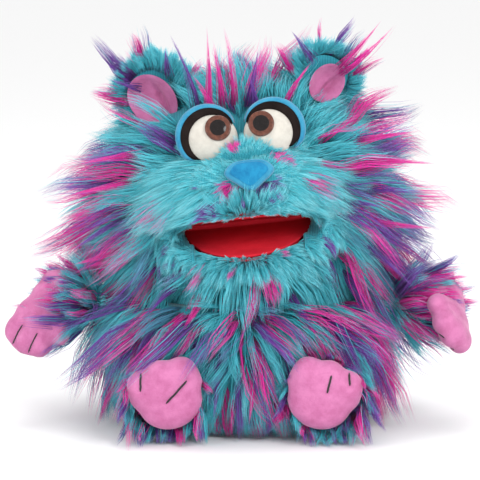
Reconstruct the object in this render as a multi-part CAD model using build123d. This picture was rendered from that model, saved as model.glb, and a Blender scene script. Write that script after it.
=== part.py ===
from build123d import *
from math import cos, radians, sin, sqrt
import os

# Moving mouth puppet: a seated fur monster, worn on one hand from below. Millimetres, +Z up, the face
# towards -Y, and the origin at the middle of the flat base. "left" and "right" are the puppet's own sides,
# so left is +X. Fur panels are solids as thick as their backing and pile together.

# --- driving dimensions ---
PIVOT = Vector(2, 5, 145)      # where the wearer's wrist lets the head turn and nod
HEAD_TILT = -6                 # the head leans to its own right, about Y
BALL_X, BALL_R = 114, 105      # outside of the head's fur, along X and round X
BALL_UP = 17                   # the head ball's middle above the pivot
PILE = 25                      # fur pile with its backing
MUZZLE = Vector(1, -77, 29)    # middle of the muzzle, in the head's frame
MUZZLE_X, MUZZLE_R, MUZZLE_PILE = 60, 41, 9
HINGE = Vector(1, -35, 8)      # the fold of the mouth, in the head's frame
MOUTH_HALF_ANGLE = 9           # each jaw's slope away from level
MOUTH_X, MOUTH_DEPTH = 46, 79  # half width and depth of the mouth plates
FELT, BOARD, MOUTH_GAP = 1.6, 2.5, 1.6
CHIN_X, CHIN_R, CHIN_PILE = 74, 84, 18
JAW_OPEN = 25                  # how far the jaw swings down from rest, degrees
HEAD_SEAM_Y, CROWN_Z = 20, 62  # seams behind the cheeks and round the crown, in the head's frame
NECK_HOLE_R, NECK_HOLE_TOP = 54, -20
PALM_ROOM_R, PADDING_FLOOR = 58, 14  # hollow for the wearer's palm, and the padding's lower edge
FINGER_ROOM = (40, 67, 28)     # half width, depth and height of the finger pocket
THUMB_ROOM = (24, 53, 24)      # the same for the thumb
POCKET_WALL, POCKET_SETBACK = 1.6, 8
SOCKET_R = 118                 # hollow in the top of the body, round the pivot
NECK_R = 114.4                 # outside of the upper neck fold, round the pivot
FOLD_THICK, FOLD_STEP = 1.4, 2.2
BODY_TOP = 90
BODY_RIM_R, BODY_BELLY_R, BODY_LOW_R = 105, 107, 98
BODY_BELLY_Z, BODY_LOW_Z = 70, 28
BODY_SEAM_Y = 38               # seams down the body's four corners
BASE_R, BASE_INNER_R, BASE_THICK = 72, 60, 3
CUFF_R, CUFF_WALL, CUFF_HEIGHT = 46, 4, 16
SLEEVE_WALL, SLEEVE_TOP = 1.6, 58
EYE_X, EYE_R, EYE_DOME_R = 20.5, 18, 24
EYE = Vector(3.2, -82, 77.8)   # midway between the eyes, in the head's frame
EYE_FRONT = 2                  # front of the eye's rim, in its own frame
EYE_LEAN = 12                  # the safety eyes look this far inwards and up
LINER_R, LID_R = 21, 25
IRIS_R, PUPIL_R, SHANK_R, WASHER_R, WASHER_DROP = 9.5, 6.0, 2.4, 7, 19.5
PUPIL_DOME_R, PUPIL_TOP = 30, 3.4
NOSE = MUZZLE + Vector(6, -36.8, 24.6)
NOSE_FACING = Vector(0, -0.89, 0.46)
EAR_ANGLE = {"right": 34, "left": 37}  # how far each ear's fold lies from the top of the head
EAR_HINGE_R, EAR_R, EAR_THICK = 98.5, 29, 18
EAR_RISE = 15                  # middle of the ear above its fold
EAR_ROOT_R, EAR_ROOT_X = 16.5, 26
EAR_LINING_R, EAR_LINING_RISE = 13, 27
SHOULDER = Vector(118, -4, 87)
SHOULDER_R, ARM_ROOT_R = 17, 14
SLEEVE_R, SLEEVE_LONG = 20, 18
WRIST_OUT = {"right": 28, "left": 35}
WRIST_R = 14.5
HAND_WIDTH, HAND_THICK, HAND_LONG, THUMB_R = 44, 22, 44, 8.5
FINGER_SEAM_X = 7.5            # the two stitch lines that part the three fingers
FINGER_SEAM_LONG = 17
HIP = Vector(60, -90, 34)
LEG_R, LEG_WIDTH, WELL_R = 29.5, 62, 31.5
FOOT_HALF_HEIGHT, FOOT_THICK, FOOT_AHEAD = 27, 20, 23
TOE_SEAM_X, TOE_SEAM_LONG = 10, 19
RUNNING_GAP = 0.5              # clear space between parts that move on each other
FAR = 400                      # longer than the whole puppet

# Where each arm points at rest: the sleeve's direction, the hand's direction and the way its palm faces.
ARM_POSE = {
    "right": (Vector(-0.82, -0.35, 0.38), Vector(-0.50, -0.25, -0.83), Vector(-0.25, -0.95, 0.2)),
    "left": (Vector(0.95, -0.20, 0.15), Vector(0.05, -0.86, -0.50), Vector(0.80, -0.28, 0.42)),
}
SIDES = {"right": -1, "left": 1}
HEAD_PLACE = Pos(*PIVOT) * Rot(0, HEAD_TILT, 0)

nodes = {}


def keep(name, shape):
    """Files a finished piece under its node name."""
    nodes[name] = shape


def spindle(half_length, radius):
    """An ellipsoid turned round the X axis."""
    half = Ellipse(half_length, radius) & Pos(0, FAR / 2) * Rectangle(FAR, FAR)
    return revolve(half, Axis.X)


def capsule(half_length, radius):
    """A round-ended bar along the X axis."""
    straight = half_length - radius
    bar = Rot(0, 90, 0) * Cylinder(radius, 2 * straight)
    return bar + Pos(straight, 0, 0) * Sphere(radius) + Pos(-straight, 0, 0) * Sphere(radius)


def turned(points):
    """A solid turned round Z from (radius, height) points; a third value of 1 marks a point on an arc."""
    edges = []
    i = 0
    while i < len(points) - 1:
        if len(points[i + 1]) == 3:
            edges.append(ThreePointArc(points[i], points[i + 1][:2], points[i + 2]))
            i += 2
        else:
            edges.append(Line(points[i], points[i + 1]))
            i += 1
    edges.append(Line(points[-1], points[0]))
    outline = make_face(edges)
    return revolve(Rot(90, 0, 0) * outline, Axis.Z)


def tube(outer, inner, bottom, top):
    """A round tube on the Z axis between two heights."""
    height = top - bottom
    wall = Cylinder(outer, height) - Cylinder(inner, height + 2)
    return Pos(0, 0, (top + bottom) / 2) * wall


def ball(radius, centre):
    return Pos(*centre) * Sphere(radius)


def shoulder_ball(radius, side):
    """A ball at a shoulder's joint, its seam facing outwards."""
    return Pos(SHOULDER.X * side, SHOULDER.Y, SHOULDER.Z) * Rot(0, 0, 90 - 90 * side) * Sphere(radius)


def frame(origin, outward, across=Vector(1, 0, 0)):
    """A place whose Z looks outward and whose X lies near across."""
    z = Vector(outward).normalized()
    x = (Vector(across) - z * Vector(across).dot(z)).normalized()
    return Plane(origin=origin, x_dir=x, z_dir=z).location


def half_space(origin, normal):
    """All that lies on the side of a plane that its normal points to."""
    return frame(origin, normal, Vector(0.3, 1, 0.2)) * Pos(0, 0, FAR / 2) * Box(FAR, FAR, FAR)


def jaw_direction(angle):
    """The way that lies this many degrees below level, ahead of the mouth hinge."""
    return Vector(0, -cos(radians(angle)), -sin(radians(angle)))


def jaw_sector(first, last, half_width, reach=FAR):
    """The wedge ahead of and below the mouth hinge between two angles below level."""
    steps = 6
    rim = []
    for i in range(steps + 1):
        way = jaw_direction(first + (last - first) * i / steps)
        rim.append((way.Y * reach, way.Z * reach))
    profile = make_face(Polyline((0, 0), *rim, close=True))
    wedge = extrude(Plane.YZ * profile, half_width, both=True)
    return Pos(*HINGE) * wedge


def mouth_slab(half_width, depth, low, high, side, start=3):
    """A half oval plate on the upper (1) or lower (-1) jaw, between two heights off the jaw's plane."""
    oval = Ellipse(half_width, depth) & Pos(0, -FAR / 2 - start) * Rectangle(FAR, FAR)
    plate = Pos(0, 0, low) * extrude(oval, high - low)
    if side < 0:
        plate = mirror(plate, Plane.XY)
    return Pos(*HINGE) * Rot(-side * MOUTH_HALF_ANGLE, 0, 0) * plate


def pocket(room, low, side):
    """A half oval cloth pocket on one jaw, open towards the hinge."""
    width, depth, height = room
    outside = mouth_slab(width, depth, low, low + height, side, start=POCKET_SETBACK)
    inside = mouth_slab(width - POCKET_WALL, depth - POCKET_WALL, low + POCKET_WALL,
                        low + height - POCKET_WALL, side)
    return outside - inside


def pocket_slab(room, low, side):
    """The space a pocket takes, carried back past the hinge for the wearer's hand."""
    width, depth, height = room
    return mouth_slab(width, depth, low - 1, low + height, side, start=-40)


def body_outline(inset):
    """The body's turned shape, or the same drawn in by the depth of its fur."""
    foot = BASE_R if inset == 0 else BASE_INNER_R
    return turned([
        (0, 0), (foot, 0), (BODY_LOW_R - inset, BODY_LOW_Z, 1), (BODY_BELLY_R - inset, BODY_BELLY_Z),
        (BODY_RIM_R - inset, BODY_TOP), (0, BODY_TOP),
    ])


def make_body():
    """The body: four fur panels round a stuffed ring, with the hand's opening up its middle."""
    socket = ball(SOCKET_R, PIVOT)
    opening = Cylinder(CUFF_R + CUFF_WALL, 2 * FAR)
    skin = body_outline(0)
    for side in SIDES.values():
        joint = Vector(SHOULDER.X * side, SHOULDER.Y, SHOULDER.Z)
        skin += Pos(joint.X - 18 * side, joint.Y, joint.Z - 7) * Rot(0, 90, 0) * Cylinder(24, 20)
    skin = skin - body_outline(PILE) - socket
    legs = []
    for side in SIDES.values():
        skin -= shoulder_ball(SHOULDER_R + RUNNING_GAP, side)
        hip = Pos(HIP.X * side, HIP.Y, HIP.Z)
        well = hip * Rot(0, 90, 0) * Cylinder(WELL_R, LEG_WIDTH + 4)
        legs.append(well)
        skin -= well
    # The seams run down through the shoulders, at the body's four corners.
    front = half_space(Vector(0, -BODY_SEAM_Y, 0), Vector(0, -1, 0))
    rear = half_space(Vector(0, BODY_SEAM_Y, 0), Vector(0, 1, 0))
    keep("belly_panel", skin & front)
    keep("back_panel", skin & rear)
    middle = skin - front - rear
    for name, side in SIDES.items():
        keep(f"side_panel_{name}", middle & half_space(Vector(0, 0, 0), Vector(side, 0, 0)))

    base = tube(BASE_INNER_R, CUFF_R + CUFF_WALL, 0, BASE_THICK)
    keep("base_panel", base)
    keep("sleeve_cuff", tube(CUFF_R + CUFF_WALL, CUFF_R, 0, CUFF_HEIGHT))
    keep("hand_sleeve", tube(CUFF_R + SLEEVE_WALL, CUFF_R, CUFF_HEIGHT, SLEEVE_TOP))
    stuffing = body_outline(PILE) - socket - opening - base
    for well in legs:
        stuffing -= well
    keep("body_stuffing", stuffing)


def make_neck():
    """Two folds of neck fabric, one inside the other, both round the wrist's pivot."""
    for i, name in enumerate(("neck_fold_upper", "neck_fold_lower")):
        outer = NECK_R + i * FOLD_STEP
        shell = Sphere(outer) - Sphere(outer - FOLD_THICK)
        band = shell & Pos(0, 0, -PIVOT.Z + 56) * Box(FAR, FAR, 42)
        band = Pos(*PIVOT) * band - Cylinder(CUFF_R + CUFF_WALL + 2, FAR)
        keep(name, band)


def eye_frame(side):
    """An eye's place on the head, looking ahead, a little up and a little outward."""
    at = Vector(EYE.X + EYE_X * side, EYE.Y, EYE.Z)
    return frame(at, Vector(0.10 * side, -0.97, 0.2))


def eye_button_place(side):
    """Where the back of a safety eye's disc lies on the eyeball, in the eye's own frame."""
    offset = Vector(-5.5 * side, 6.5, 0)
    lean = radians(EYE_LEAN)
    dome_base = EYE_FRONT - sqrt(EYE_DOME_R**2 - EYE_R**2)
    height = dome_base + sqrt(EYE_DOME_R**2 - offset.length**2)
    away = offset.normalized() * sin(lean) + Vector(0, 0, cos(lean))
    return frame(offset + Vector(0, 0, height - 0.6), away)


def eye_pockets():
    """The room that the eyes, their lids and their washers take in the face."""
    room = []
    for side in SIDES.values():
        lid = Pos(3 * side, 1.5, 26) * Cylinder(LID_R + 0.4, 68)
        washer = Pos(0, 0, -WASHER_DROP) * Cylinder(WASHER_R + 1, 12)
        room.append(eye_frame(side) * lid)
        room.append(eye_frame(side) * eye_button_place(side) * washer)
    return room


def make_eyes():
    """Padded white eyes, each with a felt outline, a plush lid and a safety eye on a locked shank."""
    for name, side in SIDES.items():
        place = eye_frame(side)
        button = eye_button_place(side)
        disc = Pos(0, 0, 1.4) * Cylinder(IRIS_R, 2.8)
        disc = button * fillet(disc.edges().group_by(Axis.Z)[-1], 1.0)
        shank = button * Pos(0, 0, -11) * Cylinder(SHANK_R, 22)
        pupil = Pos(0, 0, PUPIL_TOP - PUPIL_DOME_R) * Sphere(PUPIL_DOME_R)
        pupil &= Pos(0, 0, 6.2) * Cylinder(PUPIL_R, 10)
        pupil = button * pupil
        washer = button * Pos(0, 0, -WASHER_DROP) * Cylinder(WASHER_R - 1, 2) - shank
        hollow = button * Pos(0, 0, FAR / 2) * Cylinder(IRIS_R, FAR)
        dome = Pos(0, 0, EYE_FRONT - sqrt(EYE_DOME_R**2 - EYE_R**2)) * Sphere(EYE_DOME_R)
        eyeball = dome & Pos(0, 0, 6) * Cylinder(EYE_R, 28)
        eyeball = eyeball - hollow - shank
        slot = Rot(0, 0, 12 * side) * Box(80, 30, 30)
        outline = Pos(1.5 * side, 1.5, -2.5) * Cylinder(LINER_R, 11) - Pos(0, 0, -2.5) * Cylinder(EYE_R, 12)
        outline -= Pos(-12 * side, -27, -1) * slot
        lid = Pos(3 * side, 1.5, -1) * Cylinder(LID_R, 14) - Pos(1.5 * side, 1.5, -1) * Cylinder(LINER_R, 15)
        lid -= Pos(-12 * side, -26, -1) * slot
        nose_side = half_space(Vector(EYE.X + 0.15 * side, 0, 0), Vector(-side, 0, 0))
        parts = {
            "eyeball": place * eyeball, "eyeliner": place * outline - nose_side,
            "eyelid": place * lid - nose_side, "iris": place * (disc + shank - pupil),
            "pupil": place * pupil, "eye_washer": place * washer,
        }
        for part, shape in parts.items():
            keep(f"{part}_{name}", HEAD_PLACE * shape)


def ear_frame(name):
    """An ear's fold line on the head: Z runs up the ear, Y backwards."""
    side = SIDES[name]
    angle = radians(EAR_ANGLE[name])
    up = Vector(sin(angle) * side, 0, cos(angle))
    at = Vector(2, 2, BALL_UP) + up * EAR_HINGE_R
    return frame(at, up, Vector(cos(angle), 0.22 * side, -sin(angle) * side))


def make_ears():
    """Round fur ears, each with a velour lining, on a rolled fold where they join the head."""
    for name in SIDES:
        disc = Pos(0, 0, EAR_RISE) * Rot(90, 0, 0) * Cylinder(EAR_R, EAR_THICK)
        disc = fillet(disc.edges(), 7)
        root = Rot(0, 90, 0) * Cylinder(EAR_ROOT_R, 2 * EAR_ROOT_X)
        lining = Rot(90, 0, 0) * Cylinder(EAR_LINING_R, 4)
        lining = Pos(0, -EAR_THICK / 2 - 2, EAR_LINING_RISE) * lining
        lining = fillet(lining.faces().sort_by(Axis.Y)[0].edges(), 2.5)
        place = HEAD_PLACE * ear_frame(name)
        keep(f"ear_back_{name}", place * ((disc + root) - lining))
        keep(f"ear_lining_{name}", place * lining)


def nose_shape():
    """A padded plush nose in the head's frame: a rounded triangle, wide at the top."""
    outline = make_face(Polyline((-23, 8), (23, 8), (0, -17), close=True))
    outline = fillet(outline.vertices(), 5)
    nose = extrude(outline, 5, both=True)
    nose = fillet(nose.faces().sort_by(Axis.Z)[-1].edges(), 4)
    return frame(NOSE, NOSE_FACING) * nose


def make_head():
    """The head: a fur ball in four panels and a short-furred muzzle, padded round the wearer's fingers."""
    centre = Pos(0, 0, BALL_UP)
    outer = centre * spindle(BALL_X, BALL_R)
    inner = centre * Sphere(BALL_R - PILE)
    muzzle_outer = Pos(*MUZZLE) * capsule(MUZZLE_X, MUZZLE_R)
    muzzle_inner = Pos(*MUZZLE) * capsule(MUZZLE_X - MUZZLE_PILE, MUZZLE_R - MUZZLE_PILE)
    lip = MOUTH_GAP + FELT + BOARD + 0.2
    roof = HINGE + Vector(0, sin(radians(MOUTH_HALF_ANGLE)), cos(radians(MOUTH_HALF_ANGLE))) * lip
    up = Vector(0, sin(radians(MOUTH_HALF_ANGLE)), cos(radians(MOUTH_HALF_ANGLE)))
    below_roof = half_space(roof, -up)
    # The jaw swings inside this drum, so the head's skin stops at its rim.
    drum = Pos(*HINGE) * spindle(CHIN_X + 2, CHIN_R + 2)
    drum &= jaw_sector(-MOUTH_HALF_ANGLE - 8, 93 + JAW_OPEN, FAR)
    neck_hole = Pos(0, 0, NECK_HOLE_TOP - FAR / 2) * Cylinder(NECK_HOLE_R, FAR)
    pockets = eye_pockets()
    nose = nose_shape()

    muzzle = muzzle_outer - muzzle_inner - below_roof
    muzzle -= inner
    shell = outer - inner - muzzle_outer - drum - neck_hole
    padding = (inner + muzzle_inner) - centre * Sphere(PALM_ROOM_R) - below_roof
    padding -= half_space(Vector(0, 0, PADDING_FLOOR), Vector(0, 0, -1))
    for room in pockets:
        muzzle -= room
        shell -= room
        padding -= room
    for name in SIDES:
        groove = Rot(0, 90, 0) * Cylinder(EAR_ROOT_R + RUNNING_GAP, 2 * EAR_R + 4)
        shell -= ear_frame(name) * groove
    pocket_room = pocket_slab(FINGER_ROOM, lip, 1)
    padding -= pocket_room
    muzzle -= pocket_room

    behind = half_space(Vector(0, HEAD_SEAM_Y, 0), Vector(0, 1, 0))
    above = half_space(Vector(0, 0, CROWN_Z), Vector(0, 0, 1))
    keep("back_head_panel", HEAD_PLACE * (shell & behind))
    front = shell - behind
    crown = (front & above).solids().sort_by(SortBy.VOLUME)[-1]
    keep("crown_panel", HEAD_PLACE * crown)
    cheeks = front - above
    for name, side in SIDES.items():
        cheek = cheeks & half_space(Vector(1, 0, 0), Vector(side, 0, 0))
        keep(f"cheek_panel_{name}", HEAD_PLACE * cheek)
    keep("muzzle_panel", HEAD_PLACE * (muzzle - nose))
    keep("nose", HEAD_PLACE * nose)
    keep("head_padding", HEAD_PLACE * padding)
    keep("finger_pocket", HEAD_PLACE * pocket(FINGER_ROOM, lip, 1))


def make_mouth():
    """The two stiff mouth plates in their felt, folded along the hinge, and the thumb's pocket."""
    for name, side in (("upper", 1), ("lower", -1)):
        felt = mouth_slab(MOUTH_X + 1, MOUTH_DEPTH + 1.5, MOUTH_GAP, MOUTH_GAP + FELT, side)
        board = mouth_slab(MOUTH_X, MOUTH_DEPTH, MOUTH_GAP + FELT, MOUTH_GAP + FELT + BOARD, side)
        keep(f"{name}_mouth_lining", HEAD_PLACE * felt)
        keep(f"{name}_mouth_board", HEAD_PLACE * board)
    fold = Pos(*HINGE) * Rot(0, 90, 0) * Cylinder(1.4, 2 * MOUTH_X - 6)
    keep("mouth_fold", HEAD_PLACE * fold)

    low = MOUTH_GAP + FELT + BOARD + 0.2
    keep("thumb_pocket", HEAD_PLACE * pocket(THUMB_ROOM, low, -1))

    down = Vector(0, sin(radians(MOUTH_HALF_ANGLE)), -cos(radians(MOUTH_HALF_ANGLE)))
    under_board = half_space(HINGE + down * low, down)
    inside_neck = ball(NECK_R - FOLD_THICK - 1.5, (0, 0, 0))
    sector = jaw_sector(MOUTH_HALF_ANGLE, 90, FAR)
    outer = Pos(*HINGE) * spindle(CHIN_X, CHIN_R)
    inner = Pos(*HINGE) * spindle(CHIN_X - CHIN_PILE, CHIN_R - CHIN_PILE)
    chin = (outer - inner) & sector & under_board & inside_neck
    keep("chin_panel", HEAD_PLACE * chin)
    padding = (inner - Pos(*HINGE) * spindle(46, 50)) & sector & under_board & inside_neck
    padding -= pocket_slab(THUMB_ROOM, low, -1)
    keep("jaw_padding", HEAD_PLACE * padding)


def hand_shape():
    """A stuffed mitten in its own frame: the wrist at the origin, fingers along +Z, palm towards +Y."""
    palm = Pos(0, 0, HAND_LONG / 2 + 5) * Box(HAND_WIDTH, HAND_THICK, HAND_LONG)
    palm = fillet(palm.edges(), HAND_THICK / 2 - 0.5)
    root = Sphere(WRIST_R - 1.5)
    thumb = Cylinder(THUMB_R, 2 * THUMB_R) + Pos(0, 0, THUMB_R) * Sphere(THUMB_R)
    thumb = Pos(-20, 2, 20) * Rot(0, -38, 0) * thumb
    return palm + root + thumb


def make_arms():
    """Each arm: a shoulder fold, a fur sleeve and a stitched velour hand."""
    for name, side in SIDES.items():
        joint = Vector(SHOULDER.X * side, SHOULDER.Y, SHOULDER.Z)
        along, reach, palm = (v.normalized() for v in ARM_POSE[name])
        cap = Sphere(SHOULDER_R) - Sphere(ARM_ROOT_R + RUNNING_GAP)
        inward = half_space(Vector(-3 * side, 0, 0), Vector(-side, 0, 0.25))
        keep(f"shoulder_fold_{name}", Pos(*joint) * (cap & inward))
        sleeve_place = frame(joint, along, Vector(0, 1, 0))
        wrist = joint + along * WRIST_OUT[name]
        trunk = Pos(0, 0, 23) * Cylinder(SLEEVE_R, SLEEVE_LONG)
        trunk = fillet(trunk.edges(), 8)
        trunk = trunk - Sphere(SHOULDER_R + RUNNING_GAP)
        stalk = Pos(0, 0, 9) * Cylinder(8, 18)
        sleeve = sleeve_place * (trunk + Sphere(ARM_ROOT_R) + stalk)
        # X across the fingers, Y towards the palm's normal and Z along them.
        across = palm.cross(reach).normalized()
        place = Plane(origin=wrist, x_dir=across * side, z_dir=reach).location
        hand = hand_shape()
        keep(f"arm_sleeve_{name}", sleeve - place * hand)
        threads = []
        for x in (-FINGER_SEAM_X, FINGER_SEAM_X):
            seam = Pos(x, 0.5 - HAND_THICK / 2, 38)
            hand -= seam * Box(1.2, 2.4, FINGER_SEAM_LONG)
            threads.append(seam * Box(1.0, 1.6, FINGER_SEAM_LONG - 1))
        keep(f"hand_{name}", place * hand)
        keep(f"hand_stitching_{name}", place * Compound(children=threads))


def make_legs():
    """Each leg: a short fur stub in the belly, and a velour foot with its sole facing ahead."""
    for name, side in SIDES.items():
        hip = Pos(HIP.X * side, HIP.Y, HIP.Z)
        drum = Rot(0, 90, 0) * Cylinder(LEG_R - 1, 40)
        stub = drum & Pos(0, FAR / 2 - 12, 0) * Box(FAR, FAR, FAR)
        sole = extrude(Ellipse(LEG_WIDTH / 2, FOOT_HALF_HEIGHT), FOOT_THICK / 2, both=True)
        foot = fillet((Pos(0, -FOOT_AHEAD, 0) * Rot(90, 0, 0) * sole).edges(), 8)
        threads = []
        for x in (-TOE_SEAM_X, TOE_SEAM_X):
            seam = Pos(x, -FOOT_AHEAD - FOOT_THICK / 2, 15) * Rot(0, 0.8 * x, 0)
            foot -= seam * Box(1.2, 2.4, TOE_SEAM_LONG)
            threads.append(seam * Box(1.0, 1.4, TOE_SEAM_LONG - 1))
        keep(f"leg_sleeve_{name}", hip * stub)
        keep(f"foot_{name}", hip * foot)
        keep(f"foot_stitching_{name}", hip * Compound(children=threads))


def write_nodes():
    os.makedirs("parts", exist_ok=True)
    for name, shape in nodes.items():
        export_step(shape, f"parts/{name}.step")


make_body()
make_neck()
make_head()
make_mouth()
make_eyes()
make_ears()
make_arms()
make_legs()
write_nodes()
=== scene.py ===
from math import cos, pi, radians, sin, sqrt

import bmesh
import bpy
import numpy as np
from mathutils import Matrix, Vector


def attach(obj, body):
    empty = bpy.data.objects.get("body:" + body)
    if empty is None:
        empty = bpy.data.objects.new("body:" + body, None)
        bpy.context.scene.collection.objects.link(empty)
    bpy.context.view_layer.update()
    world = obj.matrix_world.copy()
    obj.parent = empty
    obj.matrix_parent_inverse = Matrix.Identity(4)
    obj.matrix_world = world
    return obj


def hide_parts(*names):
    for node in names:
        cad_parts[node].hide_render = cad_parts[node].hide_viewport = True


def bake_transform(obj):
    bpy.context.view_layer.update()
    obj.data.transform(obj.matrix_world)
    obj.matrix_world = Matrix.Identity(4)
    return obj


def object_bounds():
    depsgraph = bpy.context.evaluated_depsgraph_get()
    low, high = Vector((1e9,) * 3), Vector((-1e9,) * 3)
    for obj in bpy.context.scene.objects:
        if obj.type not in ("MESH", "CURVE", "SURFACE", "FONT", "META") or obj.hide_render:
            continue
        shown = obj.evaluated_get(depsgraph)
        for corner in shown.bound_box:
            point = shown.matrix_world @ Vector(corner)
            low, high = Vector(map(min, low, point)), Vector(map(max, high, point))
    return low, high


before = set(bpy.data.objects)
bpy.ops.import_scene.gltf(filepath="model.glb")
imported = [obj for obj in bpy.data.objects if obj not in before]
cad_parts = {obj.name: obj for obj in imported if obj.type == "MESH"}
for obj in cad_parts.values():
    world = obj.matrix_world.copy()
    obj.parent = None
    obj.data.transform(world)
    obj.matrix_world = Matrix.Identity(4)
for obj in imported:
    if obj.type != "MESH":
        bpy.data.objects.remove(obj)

CAD_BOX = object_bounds()

# Lengths are in millimetres, as in the CAD, until a mesh is made. The puppet faces -Y.
MM = 0.001
PIVOT = np.array([2.0, 5.0, 145.0])
HEAD_TILT = radians(-6)
BALL_X, BALL_R, BALL_UP = 114.0, 105.0, 17.0
MUZZLE = np.array([1.0, -77.0, 29.0])
MUZZLE_X, MUZZLE_R = 60.0, 41.0
HINGE = np.array([1.0, -35.0, 8.0])
MOUTH_HALF_ANGLE = radians(9)
MOUTH_X, MOUTH_DEPTH = 47.0, 80.0
CHIN_X, CHIN_R = 74.0, 84.0
EYE = np.array([3.2, -82.0, 77.8])
EYE_X, EYE_R, EYE_DOME_R = 20.5, 18.0, 24.0
SHOULDER = np.array([118.0, -4.0, 87.0])
HIP = np.array([60.0, -90.0, 34.0])
EAR_ANGLE = {"right": radians(34), "left": radians(37)}
EAR_HINGE_R = 98.5
EAR_MIDDLE = {"right": 6.0, "left": 9.0}           # the plush ear's middle above its hinge
EAR_SIZE = {"right": (24.0, 26.0), "left": (21.0, 21.5)}
EAR_VELOUR = {"right": (17.5, 21.0), "left": (13.0, 15.5)}
WRIST_OUT = {"right": 28.0, "left": 35.0}
NOSE = MUZZLE + np.array([6.0, -36.8, 24.6])
SIDES = {"right": -1, "left": 1}
ARM_POSE = {
    "right": ((-0.82, -0.35, 0.38), (-0.50, -0.25, -0.83), (-0.25, -0.95, 0.2)),
    "left": ((0.95, -0.20, 0.15), (0.05, -0.86, -0.50), (0.80, -0.28, 0.42)),
}
FLOOR_CLEAR = 0.8
OVERHANG = 17.0                 # how far fur may stand beyond the CAD box
STRANDS_PER_PIECE = 8600
UP = np.array([0.0, 0.0, 1.0])

rng = np.random.default_rng(11)
TILT = np.array([
    [cos(HEAD_TILT), 0, sin(HEAD_TILT)], [0, 1, 0], [-sin(HEAD_TILT), 0, cos(HEAD_TILT)],
])


def unit(v):
    v = np.asarray(v, float)
    return v / np.maximum(np.linalg.norm(v, axis=-1, keepdims=True), 1e-9)


def head_to_row(points):
    return np.asarray(points) @ TILT.T + PIVOT


def place_matrix(origin, outward, across=(1, 0, 0)):
    """A 3x3 whose columns are x near across, y, and z along outward."""
    z = unit(outward)
    across = np.asarray(across, float)
    x = unit(across - z * (across @ z))
    return np.stack([x, np.cross(z, x), z], axis=1)


# ---------- node materials ----------

def new_material(name, roughness=0.6, sheen=0.0, specular=0.35):
    material = bpy.data.materials.new(name)
    material.use_nodes = True
    tree = material.node_tree
    shader = tree.nodes["Principled BSDF"]
    shader.inputs["Roughness"].default_value = roughness
    shader.inputs["Specular IOR Level"].default_value = specular
    shader.inputs["Sheen Weight"].default_value = sheen
    shader.inputs["Sheen Roughness"].default_value = 0.4
    return material, tree, shader


def add_node(tree, kind, **inputs):
    node = tree.nodes.new(kind)
    for key, value in inputs.items():
        node.inputs[key.replace("_", " ")].default_value = value
    return node


def ramp(tree, source, stops):
    node = tree.nodes.new("ShaderNodeValToRGB")
    elements = node.color_ramp.elements
    while len(elements) < len(stops):
        elements.new(0.5)
    for element, (at, colour) in zip(elements, stops):
        element.position = at
        element.color = (*colour, 1)
    tree.links.new(source, node.inputs[0])
    return node.outputs[0]


def mix(tree, factor, a, b, mode="MIX"):
    node = tree.nodes.new("ShaderNodeMix")
    node.data_type = "RGBA"
    node.blend_type = mode
    if isinstance(factor, float):
        node.inputs[0].default_value = factor
    else:
        tree.links.new(factor, node.inputs[0])
    for socket, value in ((node.inputs[6], a), (node.inputs[7], b)):
        if isinstance(value, tuple):
            socket.default_value = (*value, 1)
        else:
            tree.links.new(value, socket)
    return node.outputs[2]


def noise(tree, scale, detail=3.0, rough=0.6, stretch=None):
    """Noise that stays with the piece, from its own coordinates in metres."""
    coords = tree.nodes.new("ShaderNodeTexCoord")
    source = coords.outputs["Object"]
    if stretch:
        mapping = tree.nodes.new("ShaderNodeMapping")
        mapping.inputs["Scale"].default_value = stretch
        tree.links.new(source, mapping.inputs[0])
        source = mapping.outputs[0]
    node = add_node(tree, "ShaderNodeTexNoise", Scale=scale, Detail=detail, Roughness=rough)
    tree.links.new(source, node.inputs["Vector"])
    return node.outputs["Fac"]


def bump(tree, shader, source, strength, distance):
    node = add_node(tree, "ShaderNodeBump", Strength=strength, Distance=distance)
    tree.links.new(source, node.inputs["Height"])
    tree.links.new(node.outputs[0], shader.inputs["Normal"])


def attribute(tree, name):
    node = tree.nodes.new("ShaderNodeAttribute")
    node.attribute_name = name
    return node.outputs["Fac"]


def maths(tree, operation, a, b, clamp=False):
    node = tree.nodes.new("ShaderNodeMath")
    node.operation = operation
    node.use_clamp = clamp
    for socket, value in zip(node.inputs, (a, b)):
        if isinstance(value, (int, float)):
            socket.default_value = value
        else:
            tree.links.new(value, socket)
    return node.outputs[0]


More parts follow.
